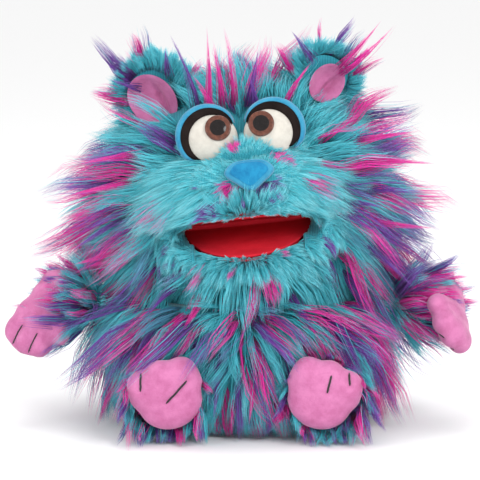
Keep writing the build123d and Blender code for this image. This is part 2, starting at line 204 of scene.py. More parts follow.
def fur_material():
    """Dyed fake fur: turquoise fibres with magenta and purple locks, darkened towards the roots with painted
    shade between the strands and pale at the tips.
    """
    material, tree, shader = new_material("fur_fibre", roughness=0.5, sheen=0.12, specular=0.35)
    along = attribute(tree, "along")
    tone = attribute(tree, "tone")
    # Painted shade: along 0 at the root gives the darkest colour, standing in for the shade between the
    # strands; tone adds random variation from lock to lock.
    shade = maths(tree, "ADD", maths(tree, "MULTIPLY", tone, 0.45), maths(tree, "MULTIPLY", along, 0.62))
    turquoise = ramp(tree, shade, [
        (0.0, (0.005, 0.085, 0.125)), (0.25, (0.018, 0.25, 0.33)), (0.5, (0.045, 0.45, 0.54)),
        (0.8, (0.10, 0.60, 0.70)), (1.0, (0.25, 0.74, 0.82)),
    ])
    magenta = ramp(tree, shade, [
        (0.0, (0.14, 0.012, 0.09)), (0.4, (0.56, 0.014, 0.25)), (0.75, (0.82, 0.03, 0.38)),
        (1.0, (0.90, 0.13, 0.50)),
    ])
    purple = ramp(tree, shade, [
        (0.0, (0.03, 0.010, 0.075)), (0.45, (0.105, 0.026, 0.24)), (0.8, (0.19, 0.06, 0.40)),
        (1.0, (0.32, 0.14, 0.55)),
    ])
    dye = attribute(tree, "dye")
    to_purple = maths(tree, "MULTIPLY", dye, 2.0, clamp=True)
    to_magenta = maths(tree, "MULTIPLY_ADD", dye, 2.0, clamp=True)
    tree.nodes[-1].inputs[2].default_value = -1.0
    colour = mix(tree, to_magenta, mix(tree, to_purple, turquoise, purple), magenta)
    tree.links.new(colour, shader.inputs["Base Color"])
    return material


def velour_material(name, dark, light, scale=260.0):
    """Short soft nap that catches light where it is brushed aside."""
    material, tree, shader = new_material(name, roughness=0.8, sheen=0.28, specular=0.12)
    patches = noise(tree, scale * 0.35, 3.0)
    nap = noise(tree, scale * 5, 2.0)
    # Painted light and shade: the colour is lighter and darker in patches and in the fine nap, standing in
    # for light caught by the nap where it is brushed aside.
    colour = ramp(tree, patches, [(0.32, dark), (0.62, light)])
    colour = mix(tree, 0.25, colour, ramp(tree, nap, [(0.3, dark), (0.7, light)]))
    tree.links.new(colour, shader.inputs["Base Color"])
    bump(tree, shader, maths(tree, "ADD", nap, patches), 0.5, 0.0006)
    return material


def felt_material(name, dark, light):
    """Pressed wool felt: matted fibres with a slightly uneven face."""
    material, tree, shader = new_material(name, roughness=0.95, specular=0.03)
    fibres = noise(tree, 900.0, 4.0, 0.75)
    clouds = noise(tree, 60.0, 3.0)
    colour = mix(tree, 0.5, ramp(tree, fibres, [(0.3, dark), (0.7, light)]),
                 ramp(tree, clouds, [(0.3, dark), (0.7, light)]))
    tree.links.new(colour, shader.inputs["Base Color"])
    bump(tree, shader, fibres, 0.55, 0.0005)
    return material


def cloth_material(name, dark, light):
    """Knitted backing cloth with fine ribs."""
    material, tree, shader = new_material(name, roughness=0.85, sheen=0.2, specular=0.2)
    coords = tree.nodes.new("ShaderNodeTexCoord")
    ribs = add_node(tree, "ShaderNodeTexWave", Scale=260.0, Distortion=2.0, Detail=2.0)
    tree.links.new(coords.outputs["Object"], ribs.inputs["Vector"])
    colour = ramp(tree, ribs.outputs["Fac"], [(0.2, dark), (0.8, light)])
    tree.links.new(colour, shader.inputs["Base Color"])
    bump(tree, shader, ribs.outputs["Fac"], 0.4, 0.0004)
    return material


def iris_material():
    """Amber brown translucent plastic with fine streaks."""
    material, tree, shader = new_material("amber_plastic", roughness=0.15, specular=0.3)
    streaks = noise(tree, 420.0, 4.0, 0.7)
    colour = ramp(tree, streaks, [(0.25, (0.045, 0.013, 0.008)), (0.55, (0.11, 0.034, 0.020)),
                                  (0.8, (0.20, 0.070, 0.040))])
    tree.links.new(colour, shader.inputs["Base Color"])
    shader.inputs["Coat Weight"].default_value = 0.25
    shader.inputs["Coat Roughness"].default_value = 0.04
    return material


def gloss_material(name, colour):
    material, tree, shader = new_material(name, roughness=0.1, specular=0.2)
    shade = ramp(tree, noise(tree, 300.0), [(0.3, colour), (0.7, tuple(c * 1.6 + 0.002 for c in colour))])
    tree.links.new(shade, shader.inputs["Base Color"])
    shader.inputs["Coat Weight"].default_value = 0.15
    shader.inputs["Coat Roughness"].default_value = 0.03
    return material


def thread_material():
    """Twisted black embroidery thread."""
    material, tree, shader = new_material("black_thread", roughness=0.55, sheen=0.3)
    coords = tree.nodes.new("ShaderNodeTexCoord")
    twist = add_node(tree, "ShaderNodeTexWave", Scale=900.0, Distortion=1.0)
    tree.links.new(coords.outputs["Object"], twist.inputs["Vector"])
    colour = ramp(tree, twist.outputs["Fac"], [(0.2, (0.006, 0.004, 0.006)), (0.8, (0.035, 0.022, 0.03))])
    tree.links.new(colour, shader.inputs["Base Color"])
    bump(tree, shader, twist.outputs["Fac"], 0.6, 0.0003)
    return material


FUR = fur_material()
PINK = velour_material("pink_velour", (0.41, 0.105, 0.245), (0.56, 0.185, 0.37))
BLUE = velour_material("blue_plush", (0.020, 0.19, 0.34), (0.050, 0.29, 0.45), 420.0)
NOSE_BLUE = velour_material("nose_plush", (0.006, 0.13, 0.29), (0.016, 0.23, 0.42), 420.0)
WHITE = velour_material("white_plush", (0.50, 0.47, 0.42), (0.61, 0.58, 0.52), 520.0)
RED = felt_material("red_felt", (0.52, 0.016, 0.030), (0.72, 0.028, 0.048))
BLACK = felt_material("black_felt", (0.006, 0.004, 0.004), (0.022, 0.016, 0.015))
LINING = cloth_material("turquoise_cloth", (0.015, 0.19, 0.24), (0.04, 0.32, 0.40))
WADDING = felt_material("white_wadding", (0.55, 0.55, 0.54), (0.80, 0.80, 0.78))
NYLON = felt_material("white_nylon", (0.62, 0.62, 0.60), (0.70, 0.70, 0.68))
AMBER = iris_material()
PUPIL = gloss_material("black_plastic", (0.006, 0.004, 0.004))
THREAD = thread_material()


# ---------- mesh helpers ----------

def mesh_object(name, verts, faces, material, smooth=True):
    mesh = bpy.data.meshes.new(name)
    mesh.from_pydata((np.asarray(verts) * MM).tolist(), [], faces)
    mesh.materials.append(material)
    mesh.polygons.foreach_set("use_smooth", [smooth] * len(mesh.polygons))
    mesh.update()
    obj = bpy.data.objects.new(name, mesh)
    bpy.context.scene.collection.objects.link(obj)
    return obj


def dress(piece, body, nodes=()):
    """Rides a piece on a body, and hides the CAD nodes it stands for."""
    if body:
        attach(piece, body)
    if nodes:
        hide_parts(*nodes)
    return piece


def grid_faces(rows, columns, wrap=False):
    faces = []
    span = columns if wrap else columns - 1
    for r in range(rows - 1):
        for c in range(span):
            d = (c + 1) % columns
            faces.append((r * columns + c, r * columns + d, (r + 1) * columns + d, (r + 1) * columns + c))
    return faces


def apply_modifiers(obj):
    graph = bpy.context.evaluated_depsgraph_get()
    done = bpy.data.meshes.new_from_object(obj.evaluated_get(graph))
    obj.modifiers.clear()
    old = obj.data
    obj.data = done
    bpy.data.meshes.remove(old)
    return obj


def remeshed(obj, voxel, smooth_rounds=6):
    """Welds overlapping lumps into one rounded skin."""
    step = obj.modifiers.new("weld", "REMESH")
    step.mode = "VOXEL"
    step.voxel_size = voxel * MM
    soften = obj.modifiers.new("soften", "SMOOTH")
    soften.iterations = smooth_rounds
    soften.factor = 0.6
    apply_modifiers(obj)
    obj.data.polygons.foreach_set("use_smooth", [True] * len(obj.data.polygons))
    return obj


def ball_points(count):
    """Points spread evenly over a unit ball, in a spiral."""
    i = np.arange(count) + 0.5
    height = 1 - 2 * i / count
    turn = pi * (1 + sqrt(5)) * i
    flat = np.sqrt(1 - height**2)
    return np.stack([flat * np.cos(turn), flat * np.sin(turn), height], axis=1)


def jittered(points, amount):
    return points + rng.normal(size=points.shape) * amount


def tube(name, points, radius, material, sides=6):
    """A round thread through a list of points, its ends drawn in."""
    points = np.asarray(points, float)
    tangents = unit(np.gradient(points, axis=0))
    side = unit(np.cross(tangents, [0.31, 0.17, 0.93]))
    other = np.cross(tangents, side)
    rings = []
    for i, point in enumerate(points):
        r = radius * (0.45 if i in (0, len(points) - 1) else 1.0)
        for k in range(sides):
            a = 2 * pi * k / sides
            rings.append(point + r * (cos(a) * side[i] + sin(a) * other[i]))
    faces = grid_faces(len(points), sides, wrap=True)
    faces.append(tuple(range(sides))[::-1])
    faces.append(tuple(range((len(points) - 1) * sides, len(points) * sides)))
    return mesh_object(name, rings, faces, material)


# ---------- fur ----------

class Coat:
    """One kind of fur: its length, lie and how it gathers into locks."""

    def __init__(self, length=34.0, lift=0.5, width=0.56, clump=42, gather=0.7, curl=0.06, droop=0.2,
                 dyed=0.1, dyed_length=1.5, spread=0.2, pale=0.0):
        self.length = length
        self.lift = lift
        self.width = width
        self.clump = clump
        self.gather = gather
        self.curl = curl
        self.droop = droop
        self.dyed = dyed
        self.dyed_length = dyed_length
        self.spread = spread
        self.pale = pale


LOW = np.array(CAD_BOX[0]) * 1000 - OVERHANG
HIGH = np.array(CAD_BOX[1]) * 1000 + OVERHANG
LOW[2] = FLOOR_CLEAR
T = np.array([0.0, 0.28, 0.55, 0.8, 1.0])
TAPER = np.array([1.0, 0.95, 0.78, 0.45])


def nearest(points, seeds):
    """For each point, the number of its nearest seed."""
    found = np.empty(len(points), int)
    for start in range(0, len(points), 4000):
        part = points[start:start + 4000]
        gap = ((part[:, None, :] - seeds[None, :, :]) ** 2).sum(axis=2)
        found[start:start + 4000] = gap.argmin(axis=1)
    return found


def strand_paths(roots, normals, flows, coat, length_scale, dyed_chance):
    """The bent centre line of every strand, gathered into locks, with each one's tone and dye."""
    count = len(roots)
    seeds = rng.choice(count, max(2, count // coat.clump), replace=False)
    owner = nearest(roots, roots[seeds])
    lean = rng.normal(size=(len(seeds), 3)) * coat.spread
    lock_length = rng.lognormal(0, 0.16, len(seeds))
    lock_phase = rng.random(len(seeds)) * 2 * pi
    lock_tone = rng.random(len(seeds))
    # Whole locks take the dye, and the dyed ones are the longest and draw closest to a point.
    chance = dyed_chance[seeds]
    draw = rng.random(len(seeds))
    lock_dye = np.select([draw < chance * 0.46, draw < chance, draw < chance * 1.3], [0.5, 1.0, 0.2], 0.0)
    dye = np.where(rng.random(count) < 0.1, 0.0, lock_dye[owner])
    dyed = lock_dye[owner] >= 0.5
    longer = np.where(dyed, coat.dyed_length, 1.0)
    lift = np.broadcast_to(coat.lift, count)[:, None]

    def lines(index, lock, loose):
        n = normals[index]
        f = flows[index]
        way = unit(n * lift[index] + f * (1 - lift[index]) + lean[lock] + loose)
        length = coat.length * length_scale[index] * lock_length[lock] * longer[index]
        bend = f * 0.38 - UP * coat.droop
        across = unit(np.cross(way, n + 0.01))
        over = np.cross(way, across)
        t = T[None, :, None]
        size = length[:, None, None]
        swing = (coat.curl * size * t
                 * (np.sin(2 * pi * 1.15 * t + lock_phase[lock][:, None, None]) * across[:, None, :]
                    + np.cos(2 * pi * 1.15 * t + lock_phase[lock][:, None, None]) * over[:, None, :]))
        return roots[index][:, None, :] + size * (way[:, None, :] * t + bend[:, None, :] * t**2) + swing

    everyone = np.arange(count)
    loose = rng.normal(size=(count, 3)) * 0.1
    paths = lines(everyone, owner, loose)
    guides = lines(seeds, np.arange(len(seeds)), np.zeros((len(seeds), 3)))
    offset = (roots - roots[seeds][owner])[:, None, :]
    pull = (coat.gather + 0.16 * dyed)[:, None, None] * (T**1.25)[None, :, None]
    paths = paths * (1 - pull) + (guides[owner] + 0.22 * offset) * pull
    own = rng.uniform(0.72, 1.06, count)[:, None, None]
    paths = roots[:, None, :] + (paths - roots[:, None, :]) * own
    reach = paths - roots[:, None, :]
    share = np.ones(count)
    for axis in range(3):
        for wall, sign in ((LOW[axis], -1), (HIGH[axis], 1)):
            room = np.maximum(sign * (wall - roots[:, axis]), 0.01)
            need = (sign * reach[:, :, axis]).max(axis=1)
            share = np.minimum(share, np.where(need > room, room / np.maximum(need, 0.01), 1))
    if coat.length > 12:
        paths = roots[:, None, :] + reach * np.maximum(share, 0.25)[:, None, None]
    paths[:, :, 2] = np.maximum(paths[:, :, 2], FLOOR_CLEAR)
    tone = np.clip(lock_tone[owner] * 0.55 + rng.random(count) * 0.5 + coat.pale, 0, 1.4)
    return paths, tone, dye


def strand_mesh(name, paths, tone, dye, width):
    """Closed three-sided tapering strands in one mesh, with a bake layout that gives each its own tile."""
    count = len(paths)
    rings = len(T) - 1
    tangent = unit(np.gradient(paths, axis=1))
    reference = unit(rng.normal(size=(count, 1, 3)))
    side = unit(np.cross(tangent, reference))
    other = np.cross(tangent, side)
    radius = (width * rng.uniform(0.7, 1.25, count))[:, None] * TAPER[None, :] * 0.5
    verts = np.empty((count, rings * 3 + 1, 3), np.float32)
    for k in range(3):
        a = 2 * pi * k / 3
        spoke = cos(a) * side[:, :rings] + sin(a) * other[:, :rings]
        verts[:, k:rings * 3:3] = paths[:, :rings] + radius[:, :, None] * spoke
    verts[:, -1] = paths[:, -1]
    verts *= MM
    loops = [2, 1, 0]
    sizes = [3]
    corner_u = [2 / 3, 1 / 3, 0.0]
    corner_v = [0.0, 0.0, 0.0]
    for ring in range(rings - 1):
        for k in range(3):
            a, b = ring * 3 + k, ring * 3 + (k + 1) % 3
            loops += [a, b, b + 3, a + 3]
            sizes.append(4)
            corner_u += [k / 3, (k + 1) / 3, (k + 1) / 3, k / 3]
            corner_v += [T[ring], T[ring], T[ring + 1], T[ring + 1]]
    for k in range(3):
        loops += [(rings - 1) * 3 + k, (rings - 1) * 3 + (k + 1) % 3, rings * 3]
        sizes.append(3)
        corner_u += [k / 3, (k + 1) / 3, (k + 0.5) / 3]
        corner_v += [T[rings - 1], T[rings - 1], 1.0]
    per = rings * 3 + 1
    corners = (np.array(loops)[None, :] + np.arange(count)[:, None] * per).ravel()
    face_sizes = np.tile(sizes, count)
    mesh = bpy.data.meshes.new(name)
    mesh.vertices.add(count * per)
    mesh.vertices.foreach_set("co", verts.ravel())
    mesh.loops.add(len(corners))
    mesh.loops.foreach_set("vertex_index", corners.astype(np.int32))
    mesh.polygons.add(len(face_sizes))
    starts = np.concatenate([[0], np.cumsum(face_sizes)[:-1]])
    mesh.polygons.foreach_set("loop_start", starts.astype(np.int32))
    mesh.update(calc_edges=True)
    mesh.polygons.foreach_set("use_smooth", np.ones(len(face_sizes), bool))
    cells = int(np.ceil(sqrt(count)))
    tile = np.arange(count)
    inner = 0.8 / cells
    u = (tile % cells)[:, None] / cells + inner * (0.125 + np.array(corner_u)[None, :])
    v = (tile // cells)[:, None] / cells + inner * (0.125 + np.array(corner_v)[None, :])
    layer = mesh.uv_layers.new(name="OFBake")
    layer.data.foreach_set("uv", np.stack([u, v], axis=2).astype(np.float32).ravel())
    ring_t = np.concatenate([np.repeat(T[:rings], 3), [1.0]])
    for label, value in (("along", np.tile(ring_t, count)), ("tone", np.repeat(tone, per)),
                         ("dye", np.repeat(dye, per))):
        mesh.attributes.new(label, "FLOAT", "POINT").data.foreach_set("value", value.astype(np.float32))
    mesh.materials.append(FUR)
    obj = bpy.data.objects.new(name, mesh)
    bpy.context.scene.collection.objects.link(obj)
    return obj


def grow(name, body, roots, normals, flows, coat, length_scale=None, dyed_chance=None, order=0,
         replaced=(), spots=(), avoid=(), slot="turquoise_fur"):
    """Fur on one panel, in as many pieces as keep each one light."""
    count = len(roots)
    length_scale = np.ones(count) if length_scale is None else length_scale
    dyed_chance = np.full(count, coat.dyed) if dyed_chance is None else dyed_chance
    paths, tone, dye = strand_paths(roots, normals, flows, coat, length_scale, dyed_chance)
    for centre, radius, colour in spots:
        near = np.linalg.norm(roots - centre, axis=1) < radius * rng.uniform(0.85, 1.15, count)
        dye[near] = colour
    clear = np.ones(count, bool)
    for centre, semi in avoid:
        clear &= ((((paths - centre) / semi) ** 2).sum(axis=2) > 1).all(axis=1)
    chunks = int(np.ceil(clear.sum() / STRANDS_PER_PIECE))
    rank = np.argsort(roots[:, order])
    rank = rank[clear[rank]]
    pieces = []
    for i, part in enumerate(np.array_split(rank, chunks)):
        label = name if chunks == 1 else f"{name}_{i + 1}"
        piece = strand_mesh(label, paths[part], tone[part], dye[part], coat.width)
        pieces.append(dress(piece, body, replaced if i == 0 else ()))
    return pieces


def grow_on_head(name, body, points, normals, flows, *rest, **more):
    """The same, from places and ways in the head's frame."""
    return grow(name, body, head_to_row(points), normals @ TILT.T, flows @ TILT.T, *rest, **more)


def lie(points, normals, away_from, fall=0.0):
    """The way fur lies: along the surface, away from a point, and falling."""
    way = unit(points - away_from) + np.array([0, 0, -fall])
    way = way - normals * (way * normals).sum(axis=1)[:, None]
    return unit(way)


# ---------- where fur grows ----------

BALL = np.array([0, 0, BALL_UP])
HEAD_INSET = 17.0
HEAD_SEMI = np.array([BALL_X - HEAD_INSET, BALL_R - HEAD_INSET, BALL_R - HEAD_INSET])
NOSE_TIP = NOSE + np.array([0.0, 3.0, -3.0])


def eye_place(side):
    at = np.array([EYE[0] + EYE_X * side, EYE[1], EYE[2]])
    return at, place_matrix(at, (0.10 * side, -0.97, 0.2))


def mouth_angle(points):
    """Degrees below level ahead of the mouth's hinge, in the head's frame."""
    return np.degrees(np.arctan2(-(points[:, 2] - HINGE[2]), -(points[:, 1] - HINGE[1])))


def inside_spindle(points, centre, half_length, radius):
    rel = (points - centre) / np.array([half_length, radius, radius])
    return (rel**2).sum(axis=1) < 1


def inside_capsule(points, grow_by):
    rel = points - MUZZLE
    straight = MUZZLE_X - MUZZLE_R
    rel[:, 0] -= np.clip(rel[:, 0], -straight, straight)
    return np.linalg.norm(rel, axis=1) < MUZZLE_R + grow_by


def head_skin_points(count):
    unit_points = unit(jittered(ball_points(count), 0.004))
    points = unit_points * HEAD_SEMI + BALL
    normals = unit(unit_points / HEAD_SEMI)
    angle = mouth_angle(points)
    keep = ~inside_capsule(points, -6)
    keep &= ~(inside_spindle(points, HINGE, CHIN_X - 8, CHIN_R + 4) & (angle > -12) & (angle < 118))
    neck = np.hypot(points[:, 0], points[:, 1]) < 50
    keep &= ~(neck & (points[:, 2] < 0))
    for side in SIDES.values():
        at, axes = eye_place(side)
        local = (points - at) @ axes
        keep &= ~((np.hypot(local[:, 0] - 3 * side, local[:, 1] - 1.5) < 24.5) & (points[:, 1] < -20))
    return points[keep], normals[keep]


def head_fur():
    """Long fur on the crown, cheeks and back of the head, radiating from the nose."""
    points, normals = head_skin_points(60000)
    flows = lie(points, normals, NOSE_TIP)
    sag = np.clip((40 - points[:, 2]) / 90, 0, 1)[:, None]
    flows = unit(flows + sag * np.array([0, 0, -0.5]))
    edge = np.clip(np.linalg.norm(points - NOSE_TIP, axis=1) / 140, 0, 1)
    length = 0.42 + 0.75 * edge**1.1
    for side in SIDES.values():
        at, _ = eye_place(side)
        gap = np.linalg.norm(points - at, axis=1)
        length *= np.clip(0.35 + (gap - 24) / 42, 0.35, 1)
    crown = points[:, 2] > 62
    outer = np.clip((np.abs(points[:, 0]) - 50) / 32, 0, 1)
    chance = 0.03 + 0.12 * edge**3 + 0.46 * outer * (points[:, 2] < 66) + 0.12 * crown
    coat = Coat(length=36, lift=0.42, width=0.5, clump=34, gather=0.62, dyed_length=1.5, spread=0.17,
                pale=0.1)
    back = points[:, 1] > 20
    panels = {
        "back_head": (back, 0, "back_head_panel"),
        "crown": (~back & crown, 0, "crown_panel"),
        "cheek_right": (~back & ~crown & (points[:, 0] < 1), 1, "cheek_panel_right"),
        "cheek_left": (~back & ~crown & (points[:, 0] >= 1), 1, "cheek_panel_left"),
    }
    for name, (mask, order, node) in panels.items():
        grow_on_head(f"{name}_fur", "head", points[mask], normals[mask], flows[mask], coat, length[mask],
                     chance[mask], order, (node,), avoid=ear_rooms())


MUZZLE_INSET = 4.0


def muzzle_skin_points(count, inset=MUZZLE_INSET):
    radius = MUZZLE_R - inset
    straight = MUZZLE_X - MUZZLE_R
    unit_points = unit(jittered(ball_points(count), 0.006))
    points = unit_points * radius
    points[:, 0] += np.sign(unit_points[:, 0]) * straight * np.minimum(1, np.abs(unit_points[:, 0]) * 2.2)
    return points + MUZZLE, unit_points


def roof_gap(points):
    """Height above the upper jaw's plane, in the head's frame."""
    normal = np.array([0, sin(MOUTH_HALF_ANGLE), cos(MOUTH_HALF_ANGLE)])
    return (points - HINGE) @ normal


MUZZLE_SPOTS = [
    ((0, -95, 68), 3.4, 1.0), ((27, -96, 57), 6.5, 1.0), ((-8, -113, 43), 7.0, 1.0),
    ((-42, -95, 37), 8.0, 1.0), ((40, -96, 41), 8.0, 1.0), ((45, -94, 31), 6.5, 1.0),
    ((19, -110, 41), 7.5, 0.5), ((-20, -111, 29), 8.0, 0.5),
]


def placed_spots(spots):
    return [(head_to_row(np.array(at)), radius, colour) for at, radius, colour in spots]


def muzzle_fur():
    """Short fur on the muzzle, lying away from the nose, with a few dyed spots."""
    points, normals = muzzle_skin_points(42000)
    ball_rel = (points - BALL) / (HEAD_SEMI + 2)
    keep = ((ball_rel**2).sum(axis=1) > 1) & (roof_gap(points) > 5)
    for side in SIDES.values():
        at, axes = eye_place(side)
        local = (points - at) @ axes
        keep &= ~((np.hypot(local[:, 0], local[:, 1]) < 15) & (local[:, 2] > -12))
    local = points - NOSE
    keep &= ~((np.abs(local[:, 0]) < 12) & (local[:, 2] > -7) & (local[:, 2] < 4))
    points, normals = points[keep], normals[keep]
    flows = lie(points, normals, NOSE_TIP - np.array([0, -20, 0]))
    low = np.clip((20 - roof_gap(points)) / 14, 0, 1)
    parting = np.stack([np.sign(points[:, 0] - 6) * 0.9, 0 * low, 0.25 + 0 * low], axis=1)
    flows = flows + low[:, None] * parting
    flows = unit(flows - normals * (flows * normals).sum(axis=1)[:, None])
    edge = np.clip(np.linalg.norm(points - NOSE_TIP, axis=1) / 62, 0, 1)
    beside = np.clip((np.abs(points[:, 0] - 4) - 22) / 26, 0, 1)
    length = (0.70 + 1.1 * edge**2.4) * (1 - 0.15 * low) + 2.0 * beside**1.3
    coat = Coat(length=8.5, lift=0.24, width=0.42, clump=26, gather=0.4, curl=0.04, droop=0.06,
                dyed=0.0, dyed_length=1.05, spread=0.12, pale=0.4)
    grow_on_head("muzzle_fur", "head", points, normals, flows, coat, length, np.full(len(points), 0.004), 0,
                 ("muzzle_panel",), placed_spots(MUZZLE_SPOTS), slot="short_fur")


BRIDGE, BRIDGE_SEMI = np.array([3.2, -79.0, 66.0]), np.array([26.0, 16.0, 20.0])
EYE_FUR_EDGE = {"right": (-11.5, 0.50), "left": (-8.0, 0.42)}      # height at the eye's middle, and slope


def face_front(x, z):
    """How far forward the face's skin stands at x and height z, in the head's frame, eyes included."""
    front = np.zeros(len(x))
    for centre, semi in ((BALL, HEAD_SEMI), (BRIDGE, BRIDGE_SEMI)):
        inside = 1 - ((x - centre[0]) / semi[0])**2 - ((z - centre[2]) / semi[2])**2
        bulge = centre[1] - semi[1] * np.sqrt(np.clip(inside, 0, 1))
        front = np.minimum(front, np.where(inside > 0, bulge, 0))
    beyond = x - MUZZLE[0]
    beyond = beyond - np.clip(beyond, MUZZLE_R - MUZZLE_X, MUZZLE_X - MUZZLE_R)
    inside = (MUZZLE_R - MUZZLE_INSET)**2 - beyond**2 - (z - MUZZLE[2])**2
    front = np.minimum(front, np.where(inside > 0, MUZZLE[1] - np.sqrt(np.clip(inside, 0, None)), 0))
    for side in SIDES.values():
        at, axes = eye_place(side)
        centre = at + axes[:, 2] * (2.2 - sqrt(EYE_DOME_R**2 - EYE_R**2))
        near = (x - at[0])**2 + (z - at[2])**2 < (EYE_R + 1)**2
        inside = EYE_DOME_R**2 - (x - centre[0])**2 - (z - centre[2])**2
        dome = centre[1] - np.sqrt(np.clip(inside, 0, None))
        front = np.where(near, np.minimum(front, dome), front)
    return front


def front_normals(front, x, z):
    """Outward normals of a surface given by how far forward it stands at x and height z."""
    step = 0.5
    rise_x = (front(x + step, z) - front(x - step, z)) / (2 * step)
    rise_z = (front(x, z + step) - front(x, z - step)) / (2 * step)
    return unit(np.stack([rise_x, -np.ones(len(x)), rise_z], axis=1))


def below_fur_edge(x, z, drop):
    """Where the short fur comes up over the lower, inner part of each eye."""
    below = np.ones(len(x), bool)
    for name, side in SIDES.items():
        dx, dz = x - EYE[0] - EYE_X * side, z - EYE[2]
        height, slope = EYE_FUR_EDGE[name]
        below &= (np.hypot(dx, dz) > EYE_R + 5) | (dz < height - drop - slope * side * dx)
    return below & (z < 88 - 0.35 * np.abs(x - EYE[0]))


def bridge():
    """Short fur and its cloth between the muzzle and the eyes, over the eyes' lower inner parts."""
    x, z = rng.uniform(-42, 48, 15000), rng.uniform(46, 88, 15000)
    y = face_front(x, z)
    keep = below_fur_edge(x, z, 3.0)
    keep &= ~((np.abs(x - NOSE[0]) < 12) & (z < NOSE[2] + 2))
    keep &= (z > 58) | (np.abs(x - EYE[0]) < 38)
    x, y, z = x[keep], y[keep], z[keep]
    points = np.stack([x, y, z], axis=1)
    normals = front_normals(face_front, x, z)
    flows = lie(points, normals, NOSE_TIP)
    coat = Coat(length=6.5, lift=0.22, width=0.42, clump=26, gather=0.4, curl=0.04, droop=0.0, dyed=0.0,
                dyed_length=1.0, spread=0.12, pale=0.3)
    grow_on_head("bridge_fur", "head", points, normals, flows, coat, None, np.full(len(points), 0.004), 0, (),
                 placed_spots(MUZZLE_SPOTS), slot="short_fur")

    rows, columns = 60, 110
    z, x = (v.ravel() for v in np.meshgrid(np.linspace(46, 88, rows), np.linspace(-42, 48, columns),
                                           indexing="ij"))
    verts = np.stack([x, face_front(x, z) - 0.25, z], axis=1)
    faces = [f[::-1] for f in grid_faces(rows, columns)]
    shell_piece("bridge_cloth", "head", head_to_row(verts), faces, below_fur_edge(x, z, 1.5))


def plate_to_head(x, ahead, height, jaw):
    """A place on a mouth plate, 1 upper or -1 lower, by distance ahead of the fold and height off it."""
    slope = MOUTH_HALF_ANGLE * jaw
    y = -ahead * cos(slope) + height * sin(slope)
    z = ahead * sin(slope) + height * cos(slope)
    return np.stack([x, y, z], axis=1) + HINGE


def plate_way(x, ahead, height, jaw):
    """A direction in the same terms."""
    return unit(plate_to_head(x, ahead, height, jaw) - HINGE)


LIP_ROLL = 4.2


def lip_fur(name, body, jaw, slot):
    """Short fur on the roll of the lip round the felt, and on the flat of the lip outside it."""
    count = 5200
    turn = rng.uniform(0.02, pi - 0.02, count)
    round_lip = rng.uniform(radians(-70), radians(60), count)
    x = 46.5 * np.cos(turn)
    ahead = 79.5 * np.sin(turn)
    outward = unit(np.stack([np.cos(turn) / 46.5, np.sin(turn) / 79.5], axis=1))
    level = -jaw * np.sin(round_lip)
    reach = np.cos(round_lip)
    roll_x = x + outward[:, 0] * reach * LIP_ROLL
    roll_ahead = ahead + outward[:, 1] * reach * LIP_ROLL
    roll_height = jaw * (2.2 + LIP_ROLL) + level * LIP_ROLL
    roots = plate_to_head(roll_x, roll_ahead, roll_height, jaw)
    normals = plate_way(outward[:, 0] * reach, outward[:, 1] * reach, level, jaw)
    # Fur beside the felt stands over its edge, and the rest parts from it and lies back.
    beside = (round_lip + radians(70)) / radians(130)
    over = 1.25 if jaw < 0 else 1.0
    flows = plate_way(outward[:, 0] * 0.7, outward[:, 1] * 0.4, (0.9 - over * beside) * jaw, jaw)

    flat_x = rng.uniform(-67, 67, 2600)
    flat_ahead = rng.uniform(2, 78, 2600)
    keep = (flat_x / 50)**2 + (flat_ahead / 84)**2 > 1
    if jaw > 0:
        keep &= np.abs(flat_x) < 19 + np.sqrt(np.clip(36**2 - (flat_ahead - 42)**2, 0, None))
    else:
        keep &= (flat_x / 66)**2 + (flat_ahead / 76)**2 < 1
    flat_x, flat_ahead = flat_x[keep], flat_ahead[keep]
    zero = np.zeros(len(flat_x))
    roots = np.concatenate([roots, plate_to_head(flat_x, flat_ahead, zero + jaw * 5.0, jaw)])
    normals = np.concatenate([normals, plate_way(zero, zero, zero - jaw, jaw)])
    flows = np.concatenate([flows, plate_way(np.sign(flat_x), zero + 0.3, zero, jaw)])
    coat = Coat(length=8.5, lift=0.30, width=0.42, clump=22, gather=0.4, curl=0.04, droop=0.05, dyed=0.0,
                dyed_length=1.0, spread=0.14, pale=0.25)
    length = np.concatenate([1.7 - 1.1 * beside, 1 + zero])
    grow_on_head(name, body, roots, normals, flows, coat, length, np.full(len(roots), 0.015), slot=slot)


CORNER_X = 46.5
LENS_SLOPE = sin(MOUTH_HALF_ANGLE)


def corner_place(x, height):
    """The gusset at a corner of the mouth: a funnel from the end of the lips out to the cheek."""
    gap = np.hypot(np.abs(x) - CORNER_X, height)
    cheek = 80 * np.sqrt(np.clip(1 - (x / 72)**2 - (height / 80)**2, 0.02, 1))
    ahead = np.minimum(cheek, 20 + 3.2 * gap)
    return np.stack([x + HINGE[0], HINGE[1] - ahead, HINGE[2] + height], axis=1)


def in_mouth(x, height, grow_by=0.0):
    """Whether a place is between the lips, seen from the front."""
    half_width = CORNER_X + grow_by
    share = np.clip(1 - (x / half_width)**2, 0, 1)
    half_height = MOUTH_DEPTH * LENS_SLOPE * np.sqrt(share) + grow_by
    return (np.abs(x) < half_width) & (np.abs(height) < half_height)


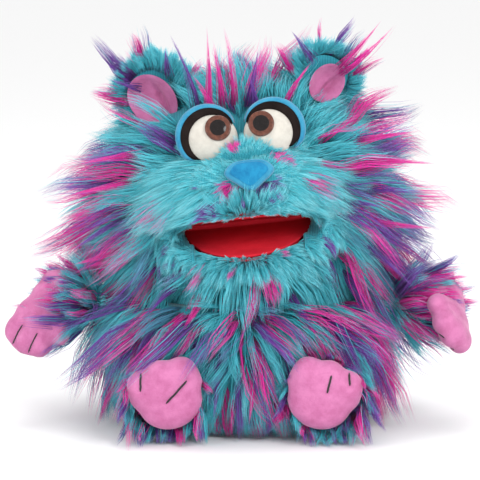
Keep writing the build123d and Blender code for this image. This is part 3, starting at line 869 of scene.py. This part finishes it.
def mouth_corners():
    """The furred gusset beside each corner of the mouth, with its cloth."""
    for name, side in SIDES.items():
        count = 3600
        x, height = rng.uniform(40, 70, count) * side, rng.uniform(-17, 19, count)
        keep = ~in_mouth(x, height, 1.5)
        x, height = x[keep], height[keep]
        points = corner_place(x, height)
        normals = front_normals(lambda a, b: corner_place(a, b)[:, 1], x, height)
        out = np.stack([np.full(len(x), 1.0 * side), np.full(len(x), -0.5), height / 24], axis=1)
        flows = unit(out - normals * (out * normals).sum(axis=1)[:, None])
        coat = Coat(length=11, lift=0.28, width=0.46, clump=26, gather=0.5, droop=0.08, dyed=0.03,
                    dyed_length=1.2, pale=0.3)
        for piece in grow_on_head(f"mouth_corner_fur_{name}", None, points, normals, flows, coat):
            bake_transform(piece)
        rows, columns = 25, 25
        h, x = (v.ravel() for v in np.meshgrid(np.linspace(-17, 19, rows),
                                               np.linspace(40, 70, columns) * side, indexing="ij"))
        faces = [f[::-side] for f in grid_faces(rows, columns)]
        cloth = shell_piece(f"mouth_corner_cloth_{name}", None, head_to_row(corner_place(x, h)), faces,
                            ~in_mouth(x, h))
        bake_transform(cloth)


CHIN_INSET = 9.0
CHIN_SPOTS = [((-29, -98, -12), 6.5, 1.0), ((10, -108, -16), 6.5, 1.0), ((-44, -84, -8), 6.5, 0.5),
              ((52, -74, -18), 6.5, 0.5)]


def chin_fur():
    """The lower jaw's fur: short at the lip, long and falling at the chin."""
    semi = np.array([CHIN_X - CHIN_INSET, CHIN_R - CHIN_INSET, CHIN_R - CHIN_INSET])
    unit_points = unit(jittered(ball_points(32000), 0.006))
    points = unit_points * semi + HINGE
    normals = unit(unit_points / semi)
    angle = mouth_angle(points)
    keep = (angle > 12) & (angle < 92) & (np.linalg.norm(points, axis=1) < 109)
    points, normals, angle = points[keep], normals[keep], angle[keep]
    flows = lie(points, normals, np.array([1.0, -95.0, 2.0]), 0.45)
    below = np.clip((angle - 12) / 30, 0, 1)
    length = 0.30 + 0.80 * below
    coat = Coat(length=33, lift=0.34, gather=0.62, dyed_length=1.35, droop=0.22, pale=0.12)
    grow_on_head("chin_fur", "jaw", points, normals, flows, coat, length, 0.02 + 0.24 * below**2, 0,
                 ("chin_panel",), placed_spots(CHIN_SPOTS))


BODY_INSET = 13.0
BODY_HEIGHTS = [0, 4, 12, 28, 50, 70, 84, 92, 95]
BODY_RADII = [66, 71, 79, 85, 90, 93, 91, 84, 76]


def body_radius(z):
    return np.interp(z, BODY_HEIGHTS, BODY_RADII)


def ear_rooms():
    """The hollow in front of each ear's velour, which the head's fur keeps out of."""
    rooms = []
    for name in SIDES:
        at, axes = ear_place(name)
        radius = EAR_VELOUR[name][0]
        middle = axes @ np.array([0, -16, EAR_MIDDLE[name] + 2]) + at
        rooms.append((head_to_row(middle), np.full(3, radius)))
    return rooms


def foot_rooms():
    """The room each plush foot fills, as middles and radii, which fur keeps out of."""
    return [(mirrored_joint(HIP, side) + np.array([-4.0 * side, -24, 5]), np.array([27, 14, 25]))
            for side in SIDES.values()]


def body_fur():
    """Long fur on the body, falling down and outwards from under the chin."""
    count = 46000
    z = rng.uniform(1.5, 95, count)
    radius = body_radius(z)
    keep = rng.random(count) < radius / 95
    z, radius = z[keep], radius[keep]
    turn = rng.uniform(0, 2 * pi, len(z))
    slope = (body_radius(z + 1) - body_radius(z - 1)) / 2
    points = np.stack([radius * np.cos(turn), radius * np.sin(turn), z], axis=1)
    normals = unit(np.stack([np.cos(turn), np.sin(turn), -slope], axis=1))
    keep = np.ones(len(points), bool)
    for side in SIDES.values():
        rel = points - HIP * np.array([side, 1, 1])
        keep &= ~((np.abs(rel[:, 0]) < 26) & (np.hypot(rel[:, 1], rel[:, 2]) < 25))
    points, normals = points[keep], normals[keep]
    out = unit(points * np.array([1, 1, 0]))
    low = np.clip(points[:, 2] / 60, 0.0, 1)
    flows = unit((out * 0.45 * np.abs(points[:, :1]) / 95 + unit(points * np.array([1, 0, 0])) * 0.4)
                 * low[:, None]**4 + np.array([0, 0, -0.8]))
    flows = unit(flows - normals * (flows * normals).sum(axis=1)[:, None])
    length = 0.36 + 0.50 * low
    lift = 0.14 + 0.24 * low
    chance = np.where(points[:, 1] < -30, 0.34, 0.26)
    front, rear = points[:, 1] < -38, points[:, 1] > 38
    panels = {
        "belly": (front, 0, "belly_panel"), "back": (rear, 0, "back_panel"),
        "side_right": (~front & ~rear & (points[:, 0] < 0), 1, "side_panel_right"),
        "side_left": (~front & ~rear & (points[:, 0] >= 0), 1, "side_panel_left"),
    }
    for name, (mask, order, node) in panels.items():
        coat = Coat(length=34, lift=lift[mask], clump=32, gather=0.66, dyed_length=1.5, droop=0.3)
        grow(f"{name}_fur", "torso", points[mask], normals[mask], flows[mask], coat, length[mask],
             chance[mask], order, (node,), avoid=foot_rooms())


def ear_place(name):
    side, angle = SIDES[name], EAR_ANGLE[name]
    up = np.array([sin(angle) * side, 0, cos(angle)])
    at = np.array([2, 2, BALL_UP]) + up * EAR_HINGE_R
    z = unit(up)
    across = np.array([cos(angle), 0.22 * side, -sin(angle) * side])
    x = unit(across - z * (across @ z))
    return at, np.stack([x, np.cross(z, x), z], axis=1)


def ear_shell(radius_x, radius_z, thick, cup):
    """A cupped oval ear: returns vertices and faces, the front towards -Y."""
    rings, spokes = 12, 40
    verts = []
    for layer in (-1, 1):
        for r in range(rings + 1):
            share = r / rings
            for s in range(spokes):
                a = 2 * pi * s / spokes
                depth = thick * 0.5 * sqrt(max(1 - share**2.6, 0.0)) * layer
                dish = cup * (share**2 - 0.5)
                verts.append((share * radius_x * cos(a), depth - dish, share * radius_z * sin(a)))
    faces = []
    block = (rings + 1) * spokes
    for quad in grid_faces(rings + 1, spokes, wrap=True):
        faces.append(quad[::-1])
        faces.append(tuple(block + v for v in quad))
    return np.array(verts), faces


def ear_parts():
    """Fur ears with a cupped pink velour lining."""
    coat = Coat(length=13, lift=0.40, width=0.5, clump=34, gather=0.55, curl=0.05, droop=0.03,
                dyed_length=1.9, spread=0.18)
    for name in SIDES:
        at, axes = ear_place(name)
        middle = np.array([0, 0, EAR_MIDDLE[name]])
        unit_points = unit(jittered(ball_points(9000), 0.01))
        semi = np.array([EAR_SIZE[name][0], 6.5, EAR_SIZE[name][1]])
        flat = unit_points * semi
        normal = unit(unit_points / semi)
        ring = np.hypot(flat[:, 0], flat[:, 2] - 6)
        keep = ~((flat[:, 1] < 0) & (ring < 16.5)) & (flat[:, 2] > -18)
        flat, normal = flat[keep], normal[keep]
        flow = unit(flat * np.array([1, 0, 1]) + np.array([0, 2.0, 9.0]))
        flow = unit(flow - normal * (flow * normal).sum(axis=1)[:, None])
        roots = head_to_row((flat + middle) @ axes.T + at)
        turn = axes.T @ TILT.T
        grow(f"ear_fur_{name}", f"ear_{name}", roots, normal @ turn, flow @ turn, coat, None,
             np.where(flat[:, 2] > 10, 0.16, 0.04), 0, (f"ear_back_{name}",))
        verts, faces = ear_shell(semi[0] - 1, semi[2] - 1, 6, 2.0)
        skin = mesh_object(f"ear_skin_{name}", head_to_row((verts + middle) @ axes.T + at), faces, LINING)
        verts, faces = ear_shell(*EAR_VELOUR[name], 5.0, 11.0)
        fold = np.exp(-((verts[:, 0] - 0.25 * verts[:, 2] - 5.0) / 2.6)**2)
        verts[:, 1] += -9.5 + 4.5 * fold * np.clip(1 - verts[:, 2] / 16, 0, 1)
        lining = mesh_object(f"ear_velour_{name}",
                             head_to_row((verts + middle + np.array([0, 0, 2])) @ axes.T + at), faces, PINK)
        dress(skin, f"ear_{name}")
        dress(lining, f"ear_{name}", (f"ear_lining_{name}",))


def mirrored_joint(point, side):
    return point * np.array([side, 1, 1])


def arm_fur():
    """Long fur down each arm, over the wrist."""
    coat = Coat(length=25, lift=0.26, clump=30, gather=0.66, dyed=0.6, dyed_length=1.3, droop=0.12,
                spread=0.14)
    for name, side in SIDES.items():
        along, reach, palm = (unit(np.array(v)) for v in ARM_POSE[name])
        joint = mirrored_joint(SHOULDER, side)
        axes = place_matrix(joint, along, (0, 1, 0))
        count = 4600
        t = rng.random(count) ** 1.15
        a = rng.uniform(0, 2 * pi, count)
        r = 6 + 9.5 * np.sqrt(np.clip(1 - (2 * t - 1)**4, 0, 1))
        local = np.stack([r * np.cos(a), r * np.sin(a), -6 + (WRIST_OUT[name] + 2) * t], axis=1)
        normal = unit(np.stack([np.cos(a), np.sin(a), (2 * t - 1)**3], axis=1))
        flow = np.tile([0.0, 0.0, 1.0], (count, 1))
        flow = unit(flow - normal * (flow * normal).sum(axis=1)[:, None])
        grow(f"arm_fur_{name}", f"arm_{name}", local @ axes.T + joint, normal @ axes.T, flow @ axes.T, coat,
             1.15 - 0.75 * t, None, 0, (f"arm_sleeve_{name}",))


def leg_fur():
    """Fur on the stub behind each foot."""
    coat = Coat(length=21, lift=0.42, clump=30, dyed=0.45, dyed_length=1.3, droop=0.25)
    for name, side in SIDES.items():
        hip = mirrored_joint(HIP, side)
        count = 2600
        a = rng.uniform(0, 2 * pi, count)
        t = rng.random(count)
        local = np.stack([24 * np.cos(a), 16 - 26 * t, 21 * np.sin(a)], axis=1)
        normal = unit(np.stack([np.cos(a), np.full(count, -0.15), np.sin(a)], axis=1))
        flow = np.tile([0.0, -1.0, -0.35], (count, 1))
        flow = unit(flow - normal * (flow * normal).sum(axis=1)[:, None])
        grow(f"leg_fur_{name}", f"leg_{name}", local + hip, normal, flow, coat, None, None, 0,
             (f"leg_sleeve_{name}",), avoid=foot_rooms())


LONG_LOCKS = {
    # body: a list of (foot of the lock, direction, length, dye), in the puppet's own frame
    "head": [
        ((-34, -38, 238), (-0.20, -0.1, 1), 62, 0.5), ((-27, -45, 238), (0.08, -0.1, 1), 66, 1.0),
        ((-16, -45, 240), (-0.05, -0.1, 1), 60, 1.0), ((-8, -42, 241), (0.04, -0.1, 1), 62, 1.0),
        ((2, -42, 240), (0.20, -0.1, 1), 56, 0.5), ((10, -50, 236), (-0.1, -0.3, 1), 40, 0.5),
        ((-22, -55, 234), (-0.25, -0.3, 1), 42, 1.0), ((30, -35, 240), (0.3, -0.1, 1), 42, 1.0),
        ((-78, -50, 205), (-1, -0.1, 0.05), 50, 1.0), ((-82, -50, 185), (-1, -0.1, -0.15), 52, 1.0),
        ((-84, -48, 160), (-1, -0.1, -0.35), 52, 0.5), ((-80, -48, 140), (-1, -0.1, -0.5), 50, 1.0),
        ((84, -45, 215), (1, -0.1, 0.35), 50, 1.0), ((88, -45, 200), (1, -0.1, 0.1), 54, 1.0),
        ((90, -48, 178), (1, -0.1, 0.25), 46, 0.5), ((88, -48, 158), (1, -0.1, -0.2), 56, 1.0),
        ((84, -48, 140), (1, -0.1, -0.45), 56, 0.5), ((70, -62, 172), (0.9, -0.4, 0.15), 38, 0.5),
    ],
    "ear_left": [
        ((72, -8, 262), (0.85, -0.1, 0.52), 56, 1.0), ((70, -8, 266), (0.72, -0.1, 0.65), 50, 1.0),
        ((50, -8, 272), (-0.45, -0.1, 0.75), 30, 0.5),
    ],
    "ear_right": [((-78, -8, 250), (-0.8, -0.2, 0.2), 26, 0.5), ((-58, -8, 262), (-0.1, -0.2, 1), 22, 0.5)],
    "jaw": [
        ((-30, -84, 106), (-0.45, -0.3, -0.9), 42, 1.0), ((6, -90, 104), (-0.3, -0.4, -0.9), 40, 1.0),
        ((34, -84, 106), (0.5, -0.3, -0.8), 46, 0.5), ((-50, -70, 112), (-0.8, -0.2, -0.6), 40, 0.5),
    ],
    "torso": [
        ((-46, -80, 70), (-0.2, -0.3, -0.95), 46, 1.0), ((-18, -90, 66), (-0.1, -0.25, -0.97), 50, 0.5),
        ((8, -92, 60), (-0.05, -0.25, -0.97), 48, 1.0), ((30, -88, 68), (0.2, -0.3, -0.93), 48, 0.5),
        ((66, -66, 70), (0.5, -0.3, -0.85), 52, 1.0), ((78, -52, 60), (0.6, -0.3, -0.8), 44, 0.5),
        ((-74, -52, 62), (-0.6, -0.3, -0.8), 44, 1.0), ((12, -88, 36), (0.1, -0.35, -0.9), 30, 1.0),
        ((-8, -86, 36), (-0.1, -0.35, -0.9), 32, 1.0), ((88, -30, 55), (0.75, -0.2, -0.65), 42, 0.5),
    ],
}
FIBRES_PER_LOCK = 30


def long_locks():
    """The longest dyed locks, which stand out of the coat and draw to a point."""
    t = T[None, :, None]
    for body, places in LONG_LOCKS.items():
        paths, dye = [], []
        for foot, way, length, colour in places:
            way = unit(way)
            bend = np.cross(way, unit(rng.normal(size=3))) * 0.24 - UP * 0.06
            own = rng.uniform(0.45, 1.0, FIBRES_PER_LOCK)[:, None, None]
            fan = rng.normal(size=(FIBRES_PER_LOCK, 1, 3)) * 2.0 * (1 - 0.92 * t)
            line = length * (way * t + bend * t**2)
            paths.append(np.array(foot) + line * own + fan)
            dye.append(np.full(FIBRES_PER_LOCK, colour))
        paths = np.clip(np.concatenate(paths), LOW, HIGH)
        piece = strand_mesh(f"long_locks_{body}", paths, rng.uniform(0.3, 1, len(paths)),
                            np.concatenate(dye), 0.42)
        dress(piece, body)


# ---------- backing cloth under the fur ----------

def shell_piece(name, body, verts, faces, keep, material=LINING):
    """A cloth surface without the faces whose corners aren't all kept."""
    faces = [f for f in faces if all(keep[v] for v in f)]
    used = sorted({v for f in faces for v in f})
    index = {v: i for i, v in enumerate(used)}
    obj = mesh_object(name, verts[used], [tuple(index[v] for v in f) for f in faces], material)
    thick = obj.modifiers.new("cloth", "SOLIDIFY")
    thick.thickness = 1.2 * MM
    thick.offset = -1
    apply_modifiers(obj)
    return dress(obj, body)


def ellipsoid_grid(semi, centre, rows=64, columns=96):
    verts = []
    for r in range(rows + 1):
        polar = pi * (r + 0.5) / (rows + 1)
        for c in range(columns):
            turn = 2 * pi * c / columns
            verts.append((sin(polar) * cos(turn), sin(polar) * sin(turn), cos(polar)))
    verts = np.array(verts) * semi + centre
    faces = grid_faces(rows + 1, columns, wrap=True)
    faces.append(tuple(range(columns))[::-1])
    faces.append(tuple(range(rows * columns, (rows + 1) * columns)))
    return verts, [f[::-1] for f in faces]


def backing_cloth():
    verts, faces = ellipsoid_grid(HEAD_SEMI - 1, BALL)
    angle = mouth_angle(verts)
    keep = ~(inside_spindle(verts, HINGE, CHIN_X - 9, CHIN_R + 3) & (angle > -9) & (angle < 114))
    keep &= ~inside_capsule(verts, -12)
    keep &= ~((np.hypot(verts[:, 0], verts[:, 1]) < 48) & (verts[:, 2] < 0))
    shell_piece("head_cloth", "head", head_to_row(verts), faces, keep)

    verts, faces = ellipsoid_grid(np.ones(3), np.zeros(3), 48, 72)
    points = verts * (MUZZLE_R - MUZZLE_INSET - 0.8)
    points[:, 0] += np.sign(verts[:, 0]) * (MUZZLE_X - MUZZLE_R) * np.minimum(1, np.abs(verts[:, 0]) * 2.2)
    points += MUZZLE
    keep = (roof_gap(points) > 4.2) & (points[:, 1] < -50)
    shell_piece("muzzle_cloth", "head", head_to_row(points), faces, keep)

    semi = np.array([CHIN_X, CHIN_R, CHIN_R]) - CHIN_INSET - 0.8
    verts, faces = ellipsoid_grid(semi, HINGE)
    angle = mouth_angle(verts)
    keep = (angle > 10.5) & (angle < 92) & (np.linalg.norm(verts, axis=1) < 110)
    shell_piece("chin_cloth", "jaw", head_to_row(verts), faces, keep)

    heights = np.linspace(0.6, 95, 40)
    columns = 96
    verts = []
    for z in heights:
        r = float(body_radius(z)) - 0.8
        for c in range(columns):
            a = 2 * pi * c / columns
            verts.append((r * cos(a), r * sin(a), z))
    verts = np.array(verts)
    keep = np.ones(len(verts), bool)
    shell_piece("body_cloth", "torso", verts, [f[::-1] for f in grid_faces(40, columns, wrap=True)], keep)


# ---------- felt mouth ----------

def mouth_felt():
    """The red felt of the mouth: one sheet folded at the hinge, glued to both boards."""
    columns, rows = 41, 24
    verts = []
    for jaw in (1, -1):
        slope = MOUTH_HALF_ANGLE * jaw
        for r in range(rows):
            share = r / (rows - 1)
            for c in range(columns):
                u = 2 * c / (columns - 1) - 1
                x = MOUTH_X * sin(u * pi / 2)
                depth = 1.0 + (MOUTH_DEPTH * sqrt(max(1 - (x / MOUTH_X)**2, 0)) - 1.0) * share
                depth = max(depth, 1.0)
                lift = 1.9 + 0.5 * sin(share * pi) * cos(u * pi / 2)
                verts.append((x, -depth * cos(slope), jaw * (depth * sin(abs(slope)) + lift)))
    verts = np.array(verts) + HINGE
    block = rows * columns
    quads = grid_faces(rows, columns)
    upper = quads
    lower = [tuple(block + v for v in q)[::-1] for q in quads]
    back = [(c, block + c, block + c + 1, c + 1) for c in range(columns - 1)]
    faces = upper + lower + back
    obj = mesh_object("mouth_felt", head_to_row(verts), faces, RED)
    thick = obj.modifiers.new("felt", "SOLIDIFY")
    thick.thickness = 1.4 * MM
    thick.offset = 0
    apply_modifiers(obj)
    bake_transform(obj)
    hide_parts("upper_mouth_lining", "lower_mouth_lining", "mouth_fold")


# ---------- eyes and nose ----------

def crescent(name, side, inner, outer, inner_at, outer_at, start, end, bulge, sink, material):
    """A padded crescent between two circles, lying over the eyeball's rim."""
    at, axes = eye_place(side)
    steps, across = 64, 9
    verts = []
    for i in range(steps + 1):
        a = radians(start + (end - start) * i / steps)
        way = np.array([cos(a), sin(a)])
        p = np.array(inner_at) + way * inner
        q = np.array(outer_at) + way * outer
        taper = min(1.0, sin(pi * i / steps) * 3.2) ** 0.5
        for k in range(across):
            s = k / (across - 1)
            flat = p + (q - p) * s * max(taper, 0.05)
            height = sink[0] + (sink[1] - sink[0]) * s + bulge * taper * sqrt(max(1 - (2 * s - 1)**2, 0))
            verts.append((flat[0], flat[1], height))
        for k in range(across - 1, -1, -1):
            s = k / (across - 1)
            flat = p + (q - p) * s * max(taper, 0.05)
            verts.append((flat[0], flat[1], min(sink) - 7))
    around = 2 * across
    faces = grid_faces(steps + 1, around, wrap=True)
    faces.append(tuple(range(around))[::-1])
    faces.append(tuple(range(steps * around, (steps + 1) * around)))
    local = np.array(verts)
    return mesh_object(name, head_to_row(local @ axes.T + at), faces, material)


def eyes():
    for name, side in SIDES.items():
        at, axes = eye_place(side)
        rows, columns = 30, 72
        verts = []
        rise = EYE_DOME_R - sqrt(EYE_DOME_R**2 - EYE_R**2)
        for r in range(rows + 1):
            share = r / rows
            for c in range(columns):
                a = 2 * pi * c / columns
                flat = EYE_R * min(share * 1.12, 1.0)
                height = 2 + sqrt(max(EYE_DOME_R**2 - flat**2, 0)) - (EYE_DOME_R - rise)
                height -= max(0.0, share * 1.12 - 1.0) * 60
                verts.append((flat * cos(a), flat * sin(a), height))
        faces = [f[::-1] for f in grid_faces(rows + 1, columns, wrap=True)]
        faces.append(tuple(range(rows * columns, (rows + 1) * columns))[::-1])
        ball = mesh_object(f"eye_plush_{name}", head_to_row(np.array(verts) @ axes.T + at),
                           [f[::-1] for f in faces], WHITE)
        dress(ball, "head", (f"eyeball_{name}",))
        # The lids start at the nose side and run over the top to the outer corner.
        start, end = (28, 236) if side < 0 else (-40, 152)
        liner = crescent(f"eye_liner_{name}", side, EYE_R - 0.6, 21.2, (0, 0), (2.6 * side, 2.2), start, end,
                         0.9, (3.2, 1.6), BLACK)
        dress(liner, "head", (f"eyeliner_{name}",))
        lid = crescent(f"eye_lid_{name}", side, 20.6, 23.6, (2.4 * side, 2.0), (4.0 * side, 2.9), start - 4,
                       end + 4, 2.6, (1.2, -1.5), BLUE)
        dress(lid, "head", (f"eyelid_{name}",))


def nose():
    """The plush nose: a rounded triangle with a stitched rim round a deeper blue middle."""
    axes = place_matrix(NOSE, (0, -0.93, 0.36))
    outline = []
    corners = [np.array(p) for p in ((-18.2, 1.5), (-12.0, 9.0), (0.0, 10.4), (12.0, 9.0), (18.2, 1.5),
                                     (10.5, -6.2), (0.0, -13.0), (-10.5, -6.2))]
    steps = 96
    for i in range(steps):
        s = i / steps * len(corners)
        k, f = int(s), s - int(s)
        p0, p1, p2, p3 = (corners[(k + j) % len(corners)] for j in (-1, 0, 1, 2))
        outline.append(p1 + 0.5 * f * (p2 - p0 + f * (2 * p0 - 5 * p1 + 4 * p2 - p3
                                                      + f * (3 * (p1 - p2) + p3 - p0))))
    outline = np.array(outline)
    rings = 26
    verts = []
    for r in range(rings + 1):
        share = r / rings
        for point in outline:
            height = 6.2 * sqrt(max(1 - share**3.0, 0)) - 0.9 * np.exp(-((share - 0.80) / 0.035)**2)
            verts.append((point[0] * share, point[1] * share, height))
    for point in outline:
        verts.append((point[0] * 0.97, point[1] * 0.97, -4))
    faces = grid_faces(rings + 2, steps, wrap=True)
    faces.append(tuple(range((rings + 1) * steps, (rings + 2) * steps)))
    obj = mesh_object("nose_plush", head_to_row(np.array(verts) @ axes.T + NOSE), faces, BLUE)
    obj.data.materials.append(NOSE_BLUE)
    for i, polygon in enumerate(obj.data.polygons):
        if i < steps * int(rings * 0.78):
            polygon.material_index = 1
    dress(obj, "head", ("nose",))


# ---------- hands and feet ----------

def lump(bm, centre, size, matrix=None):
    """Adds one ellipsoid to a mesh under construction."""
    place = Matrix.Translation(Vector(centre)) @ (matrix or Matrix()) @ Matrix.Diagonal((*size, 1))
    bmesh.ops.create_uvsphere(bm, u_segments=24, v_segments=16, radius=1.0, matrix=place)


def lumps_object(name, parts, material):
    bm = bmesh.new()
    for centre, size, matrix in parts:
        lump(bm, centre, size, matrix)
    mesh = bpy.data.meshes.new(name)
    bm.to_mesh(mesh)
    bm.free()
    mesh.transform(Matrix.Scale(MM, 4))
    mesh.materials.append(material)
    obj = bpy.data.objects.new(name, mesh)
    bpy.context.scene.collection.objects.link(obj)
    return obj


def stitched(obj, lines, depth, reach):
    """Pulls a soft surface in along stitch lines: each line is (points, direction of the needle)."""
    count = len(obj.data.vertices)
    co = np.empty(count * 3)
    obj.data.vertices.foreach_get("co", co)
    co = co.reshape(-1, 3) / MM
    for points, inward in lines:
        points = np.asarray(points)
        gap = np.sqrt(((co[:, None, :] - points[None, :, :]) ** 2).sum(axis=2)).min(axis=1)
        co += np.asarray(inward) * (depth * np.exp(-(gap / reach)**2))[:, None]
    obj.data.vertices.foreach_set("co", (co * MM).ravel())
    obj.data.update()


def surface_line(obj, a, b, direction, steps=12, lift=0.4):
    """Points along a line from a to b, dropped onto the object along a direction."""
    result = []
    for i in range(steps):
        start = np.asarray(a) + (np.asarray(b) - np.asarray(a)) * i / (steps - 1)
        hit, where, normal, _ = obj.ray_cast(Vector((start - np.asarray(direction) * 60) * MM),
                                             Vector(direction))
        if hit:
            result.append(np.array(where) / MM + np.array(normal) * lift)
    return np.array(result)


def puff(obj, rounds=14, pressure=3.0, cap=3.0):
    """Fills a soft piece: a short cloth simulation with air pressure, held near its cut shape."""
    mesh = obj.data
    before = np.empty(len(mesh.vertices) * 3)
    mesh.vertices.foreach_get("co", before)
    step = obj.modifiers.new("cloth", "CLOTH")
    settings = step.settings
    settings.use_pressure = True
    settings.uniform_pressure_force = pressure
    settings.effector_weights.gravity = 0
    settings.tension_stiffness = 25
    settings.compression_stiffness = 25
    settings.bending_stiffness = 2.0
    scene = bpy.context.scene
    step.point_cache.frame_start = 1
    step.point_cache.frame_end = rounds
    for number in range(1, rounds + 1):
        scene.frame_set(number)
    graph = bpy.context.evaluated_depsgraph_get()
    after = np.empty(len(before))
    obj.evaluated_get(graph).data.vertices.foreach_get("co", after)
    obj.modifiers.clear()
    scene.frame_set(1)
    move = (after - before).reshape(-1, 3)
    size = np.linalg.norm(move, axis=1, keepdims=True)
    move *= np.minimum(1, cap * MM / np.maximum(size, 1e-9))
    mesh.vertices.foreach_set("co", (before.reshape(-1, 3) + move).ravel())
    mesh.update()


def finish_paw(obj, threads, kind, body, name, axes, place, thread_radius):
    """Moves a hand or foot to its place, and adds the thread of its stitches."""
    co = np.array([v.co for v in obj.data.vertices]) / MM
    obj.data.vertices.foreach_set("co", ((co @ axes.T + place) * MM).ravel())
    obj.data.update()
    dress(obj, body, (f"{kind}_{name}",))
    for i, line in enumerate(threads):
        thread = tube(f"{kind}_thread_{name}_{i + 1}", line @ axes.T + place, thread_radius, THREAD)
        dress(thread, body, (f"{kind}_stitching_{name}",) if i == 0 else ())


def hands():
    for name, side in SIDES.items():
        along, reach, palm = (unit(np.array(v)) for v in ARM_POSE[name])
        wrist = mirrored_joint(SHOULDER, side) + along * WRIST_OUT[name]
        x = unit(np.cross(palm, reach)) * side
        z = reach
        y = np.cross(z, x)
        axes = np.stack([x, y, z], axis=1)
        turn = Matrix.Rotation(radians(-40), 4, "Y")
        parts = [
            ((0, 0, 24), (20.0, 11.5, 20), None), ((0, 0, 37), (19.0, 11.0, 15.5), None),
            ((-12.0, 0, 38), (8.4, 9.6, 12.0), None), ((0, 0, 40), (8.8, 10.0, 13.0), None),
            ((12.0, 0, 37), (8.4, 9.6, 12.0), None), ((-18.5, 0, 24), (8.2, 8.6, 11.5), turn),
            ((0, 0, 6), (16.5, 12.0, 15), None), ((0, 0, -6), (15.0, 12.0, 12), None),
        ]
        obj = lumps_object(f"velour_hand_{name}", parts, PINK)
        remeshed(obj, 1.5, 24)
        puff(obj, 10, 2.5, 1.5)
        front = [((sx, -13, 34), (sx * 1.1, -13, 51)) for sx in (-6.4, 6.4)]
        stitched(obj, [(np.linspace((a[0], -9.5, a[2]), (b[0], -7, b[2]), 14), (0, 1, 0)) for a, b in front],
                 2.4, 2.6)
        threads = [surface_line(obj, a, b, (0, 1, 0)) for a, b in front]
        finish_paw(obj, threads, "hand", f"arm_{name}", name, axes, wrist, 0.55)


FOOT_STITCHES = {
    "right": (((-19, -40, 24), (-19.5, -40, 4)), ((14, -40, 12), (-1, -40, -5))),
    "left": (((6.5, -40, 16), (3.5, -40, 3)), ((19, -40, 24), (20, -40, 8))),
}


def feet():
    for name, side in SIDES.items():
        hip = mirrored_joint(HIP, side) + np.array([-4.0 * side, 0, 4.0])
        parts = [
            ((0, -21, -5), (24.5, 12, 21.5), None), ((0, -22, 5), (28.5, 12.5, 18.5), None),
            ((-15, -23, 11), (12.5, 11.5, 13.5), None), ((0, -23.5, 13.5), (13.0, 12.0, 13.5), None),
            ((15, -23, 11), (12.5, 11.5, 13.5), None), ((0, -14, 0), (20, 10, 18), None),
        ]
        obj = lumps_object(f"velour_foot_{name}", parts, PINK)
        obj.data.transform(Matrix.Rotation(radians(20 * side), 4, "Y"))
        remeshed(obj, 1.7, 22)
        puff(obj, 10, 2.5, 1.5)
        front = FOOT_STITCHES[name]
        stitched(obj, [(np.linspace((a[0], -31, a[2]), (b[0], -33, b[2]), 14), (0, 1, 0)) for a, b in front],
                 2.6, 2.6)
        threads = [surface_line(obj, a, b, (0, 1, 0)) for a, b in front]
        finish_paw(obj, threads, "foot", f"leg_{name}", name, np.eye(3), hip, 0.8)


# ---------- CAD nodes that stay ----------

NODE_MATERIALS = {
    "iris": AMBER, "pupil": PUPIL, "eye_washer": NYLON, "upper_mouth_board": RED, "lower_mouth_board": RED,
    "body_stuffing": WADDING, "head_padding": WADDING, "jaw_padding": WADDING,
}


def dress_cad_nodes():
    """A node material for every CAD node that still shows or lies hidden inside."""
    for node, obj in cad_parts.items():
        material = NODE_MATERIALS.get(node.removesuffix("_left").removesuffix("_right"), LINING)
        for place in obj.material_slots:
            place.material = material


# ---------- floor, light and camera ----------

def area_light(name, at, towards, size, power, colour=(1, 1, 1)):
    light = bpy.data.lights.new(name, "AREA")
    light.shape = "DISK"
    light.size = size
    light.energy = power
    light.color = colour
    obj = bpy.data.objects.new(name, light)
    obj.location = at
    obj.rotation_euler = (Vector(towards) - Vector(at)).to_track_quat("-Z", "Y").to_euler()
    bpy.context.scene.collection.objects.link(obj)


def studio():
    reach = 12000
    floor = mesh_object("floor", np.array([(-reach, -reach, 0), (reach, -reach, 0), (reach, reach, 0),
                                           (-reach, reach, 0)]), [(0, 1, 2, 3)],
                        new_material("paper_floor", 0.9)[0])
    shader = floor.data.materials[0].node_tree.nodes["Principled BSDF"]
    shader.inputs["Base Color"].default_value = (0.92, 0.92, 0.92, 1)
    world = bpy.data.worlds.new("studio")
    bpy.context.scene.world = world
    world.use_nodes = True
    world.node_tree.nodes["Background"].inputs[0].default_value = (1, 1, 1, 1)
    world.node_tree.nodes["Background"].inputs[1].default_value = 1.0
    middle = (0, 0, 0.15)
    area_light("key", (0.75, -1.35, 1.0), middle, 0.7, 13)
    area_light("fill", (-1.1, -1.1, 0.7), middle, 0.9, 6)
    area_light("top", (0.0, 0.3, 1.6), middle, 1.0, 7)
    area_light("front_low", (0.25, -1.7, 0.05), middle, 0.35, 5)


def camera():
    distance, elevation = 3.0, radians(8)
    aim = Vector((-0.0035, 0, 0.1355))
    data = bpy.data.cameras.new("camera")
    obj = bpy.data.objects.new("camera", data)
    bpy.context.scene.collection.objects.link(obj)
    obj.location = aim + Vector((0, -cos(elevation), sin(elevation))) * distance
    obj.rotation_euler = (aim - obj.location).to_track_quat("-Z", "Y").to_euler()
    data.sensor_width = 36
    data.lens = 36 * distance / 0.360
    bpy.context.scene.camera = obj


head_fur()
muzzle_fur()
bridge()
lip_fur("upper_lip_fur", "head", 1, "short_fur")
lip_fur("lower_lip_fur", "jaw", -1, "turquoise_fur")
mouth_corners()
chin_fur()
body_fur()
ear_parts()
arm_fur()
leg_fur()
long_locks()
backing_cloth()
mouth_felt()
eyes()
nose()
hands()
feet()
dress_cad_nodes()
studio()
camera()
bpy.context.scene.view_settings.view_transform = "Standard"
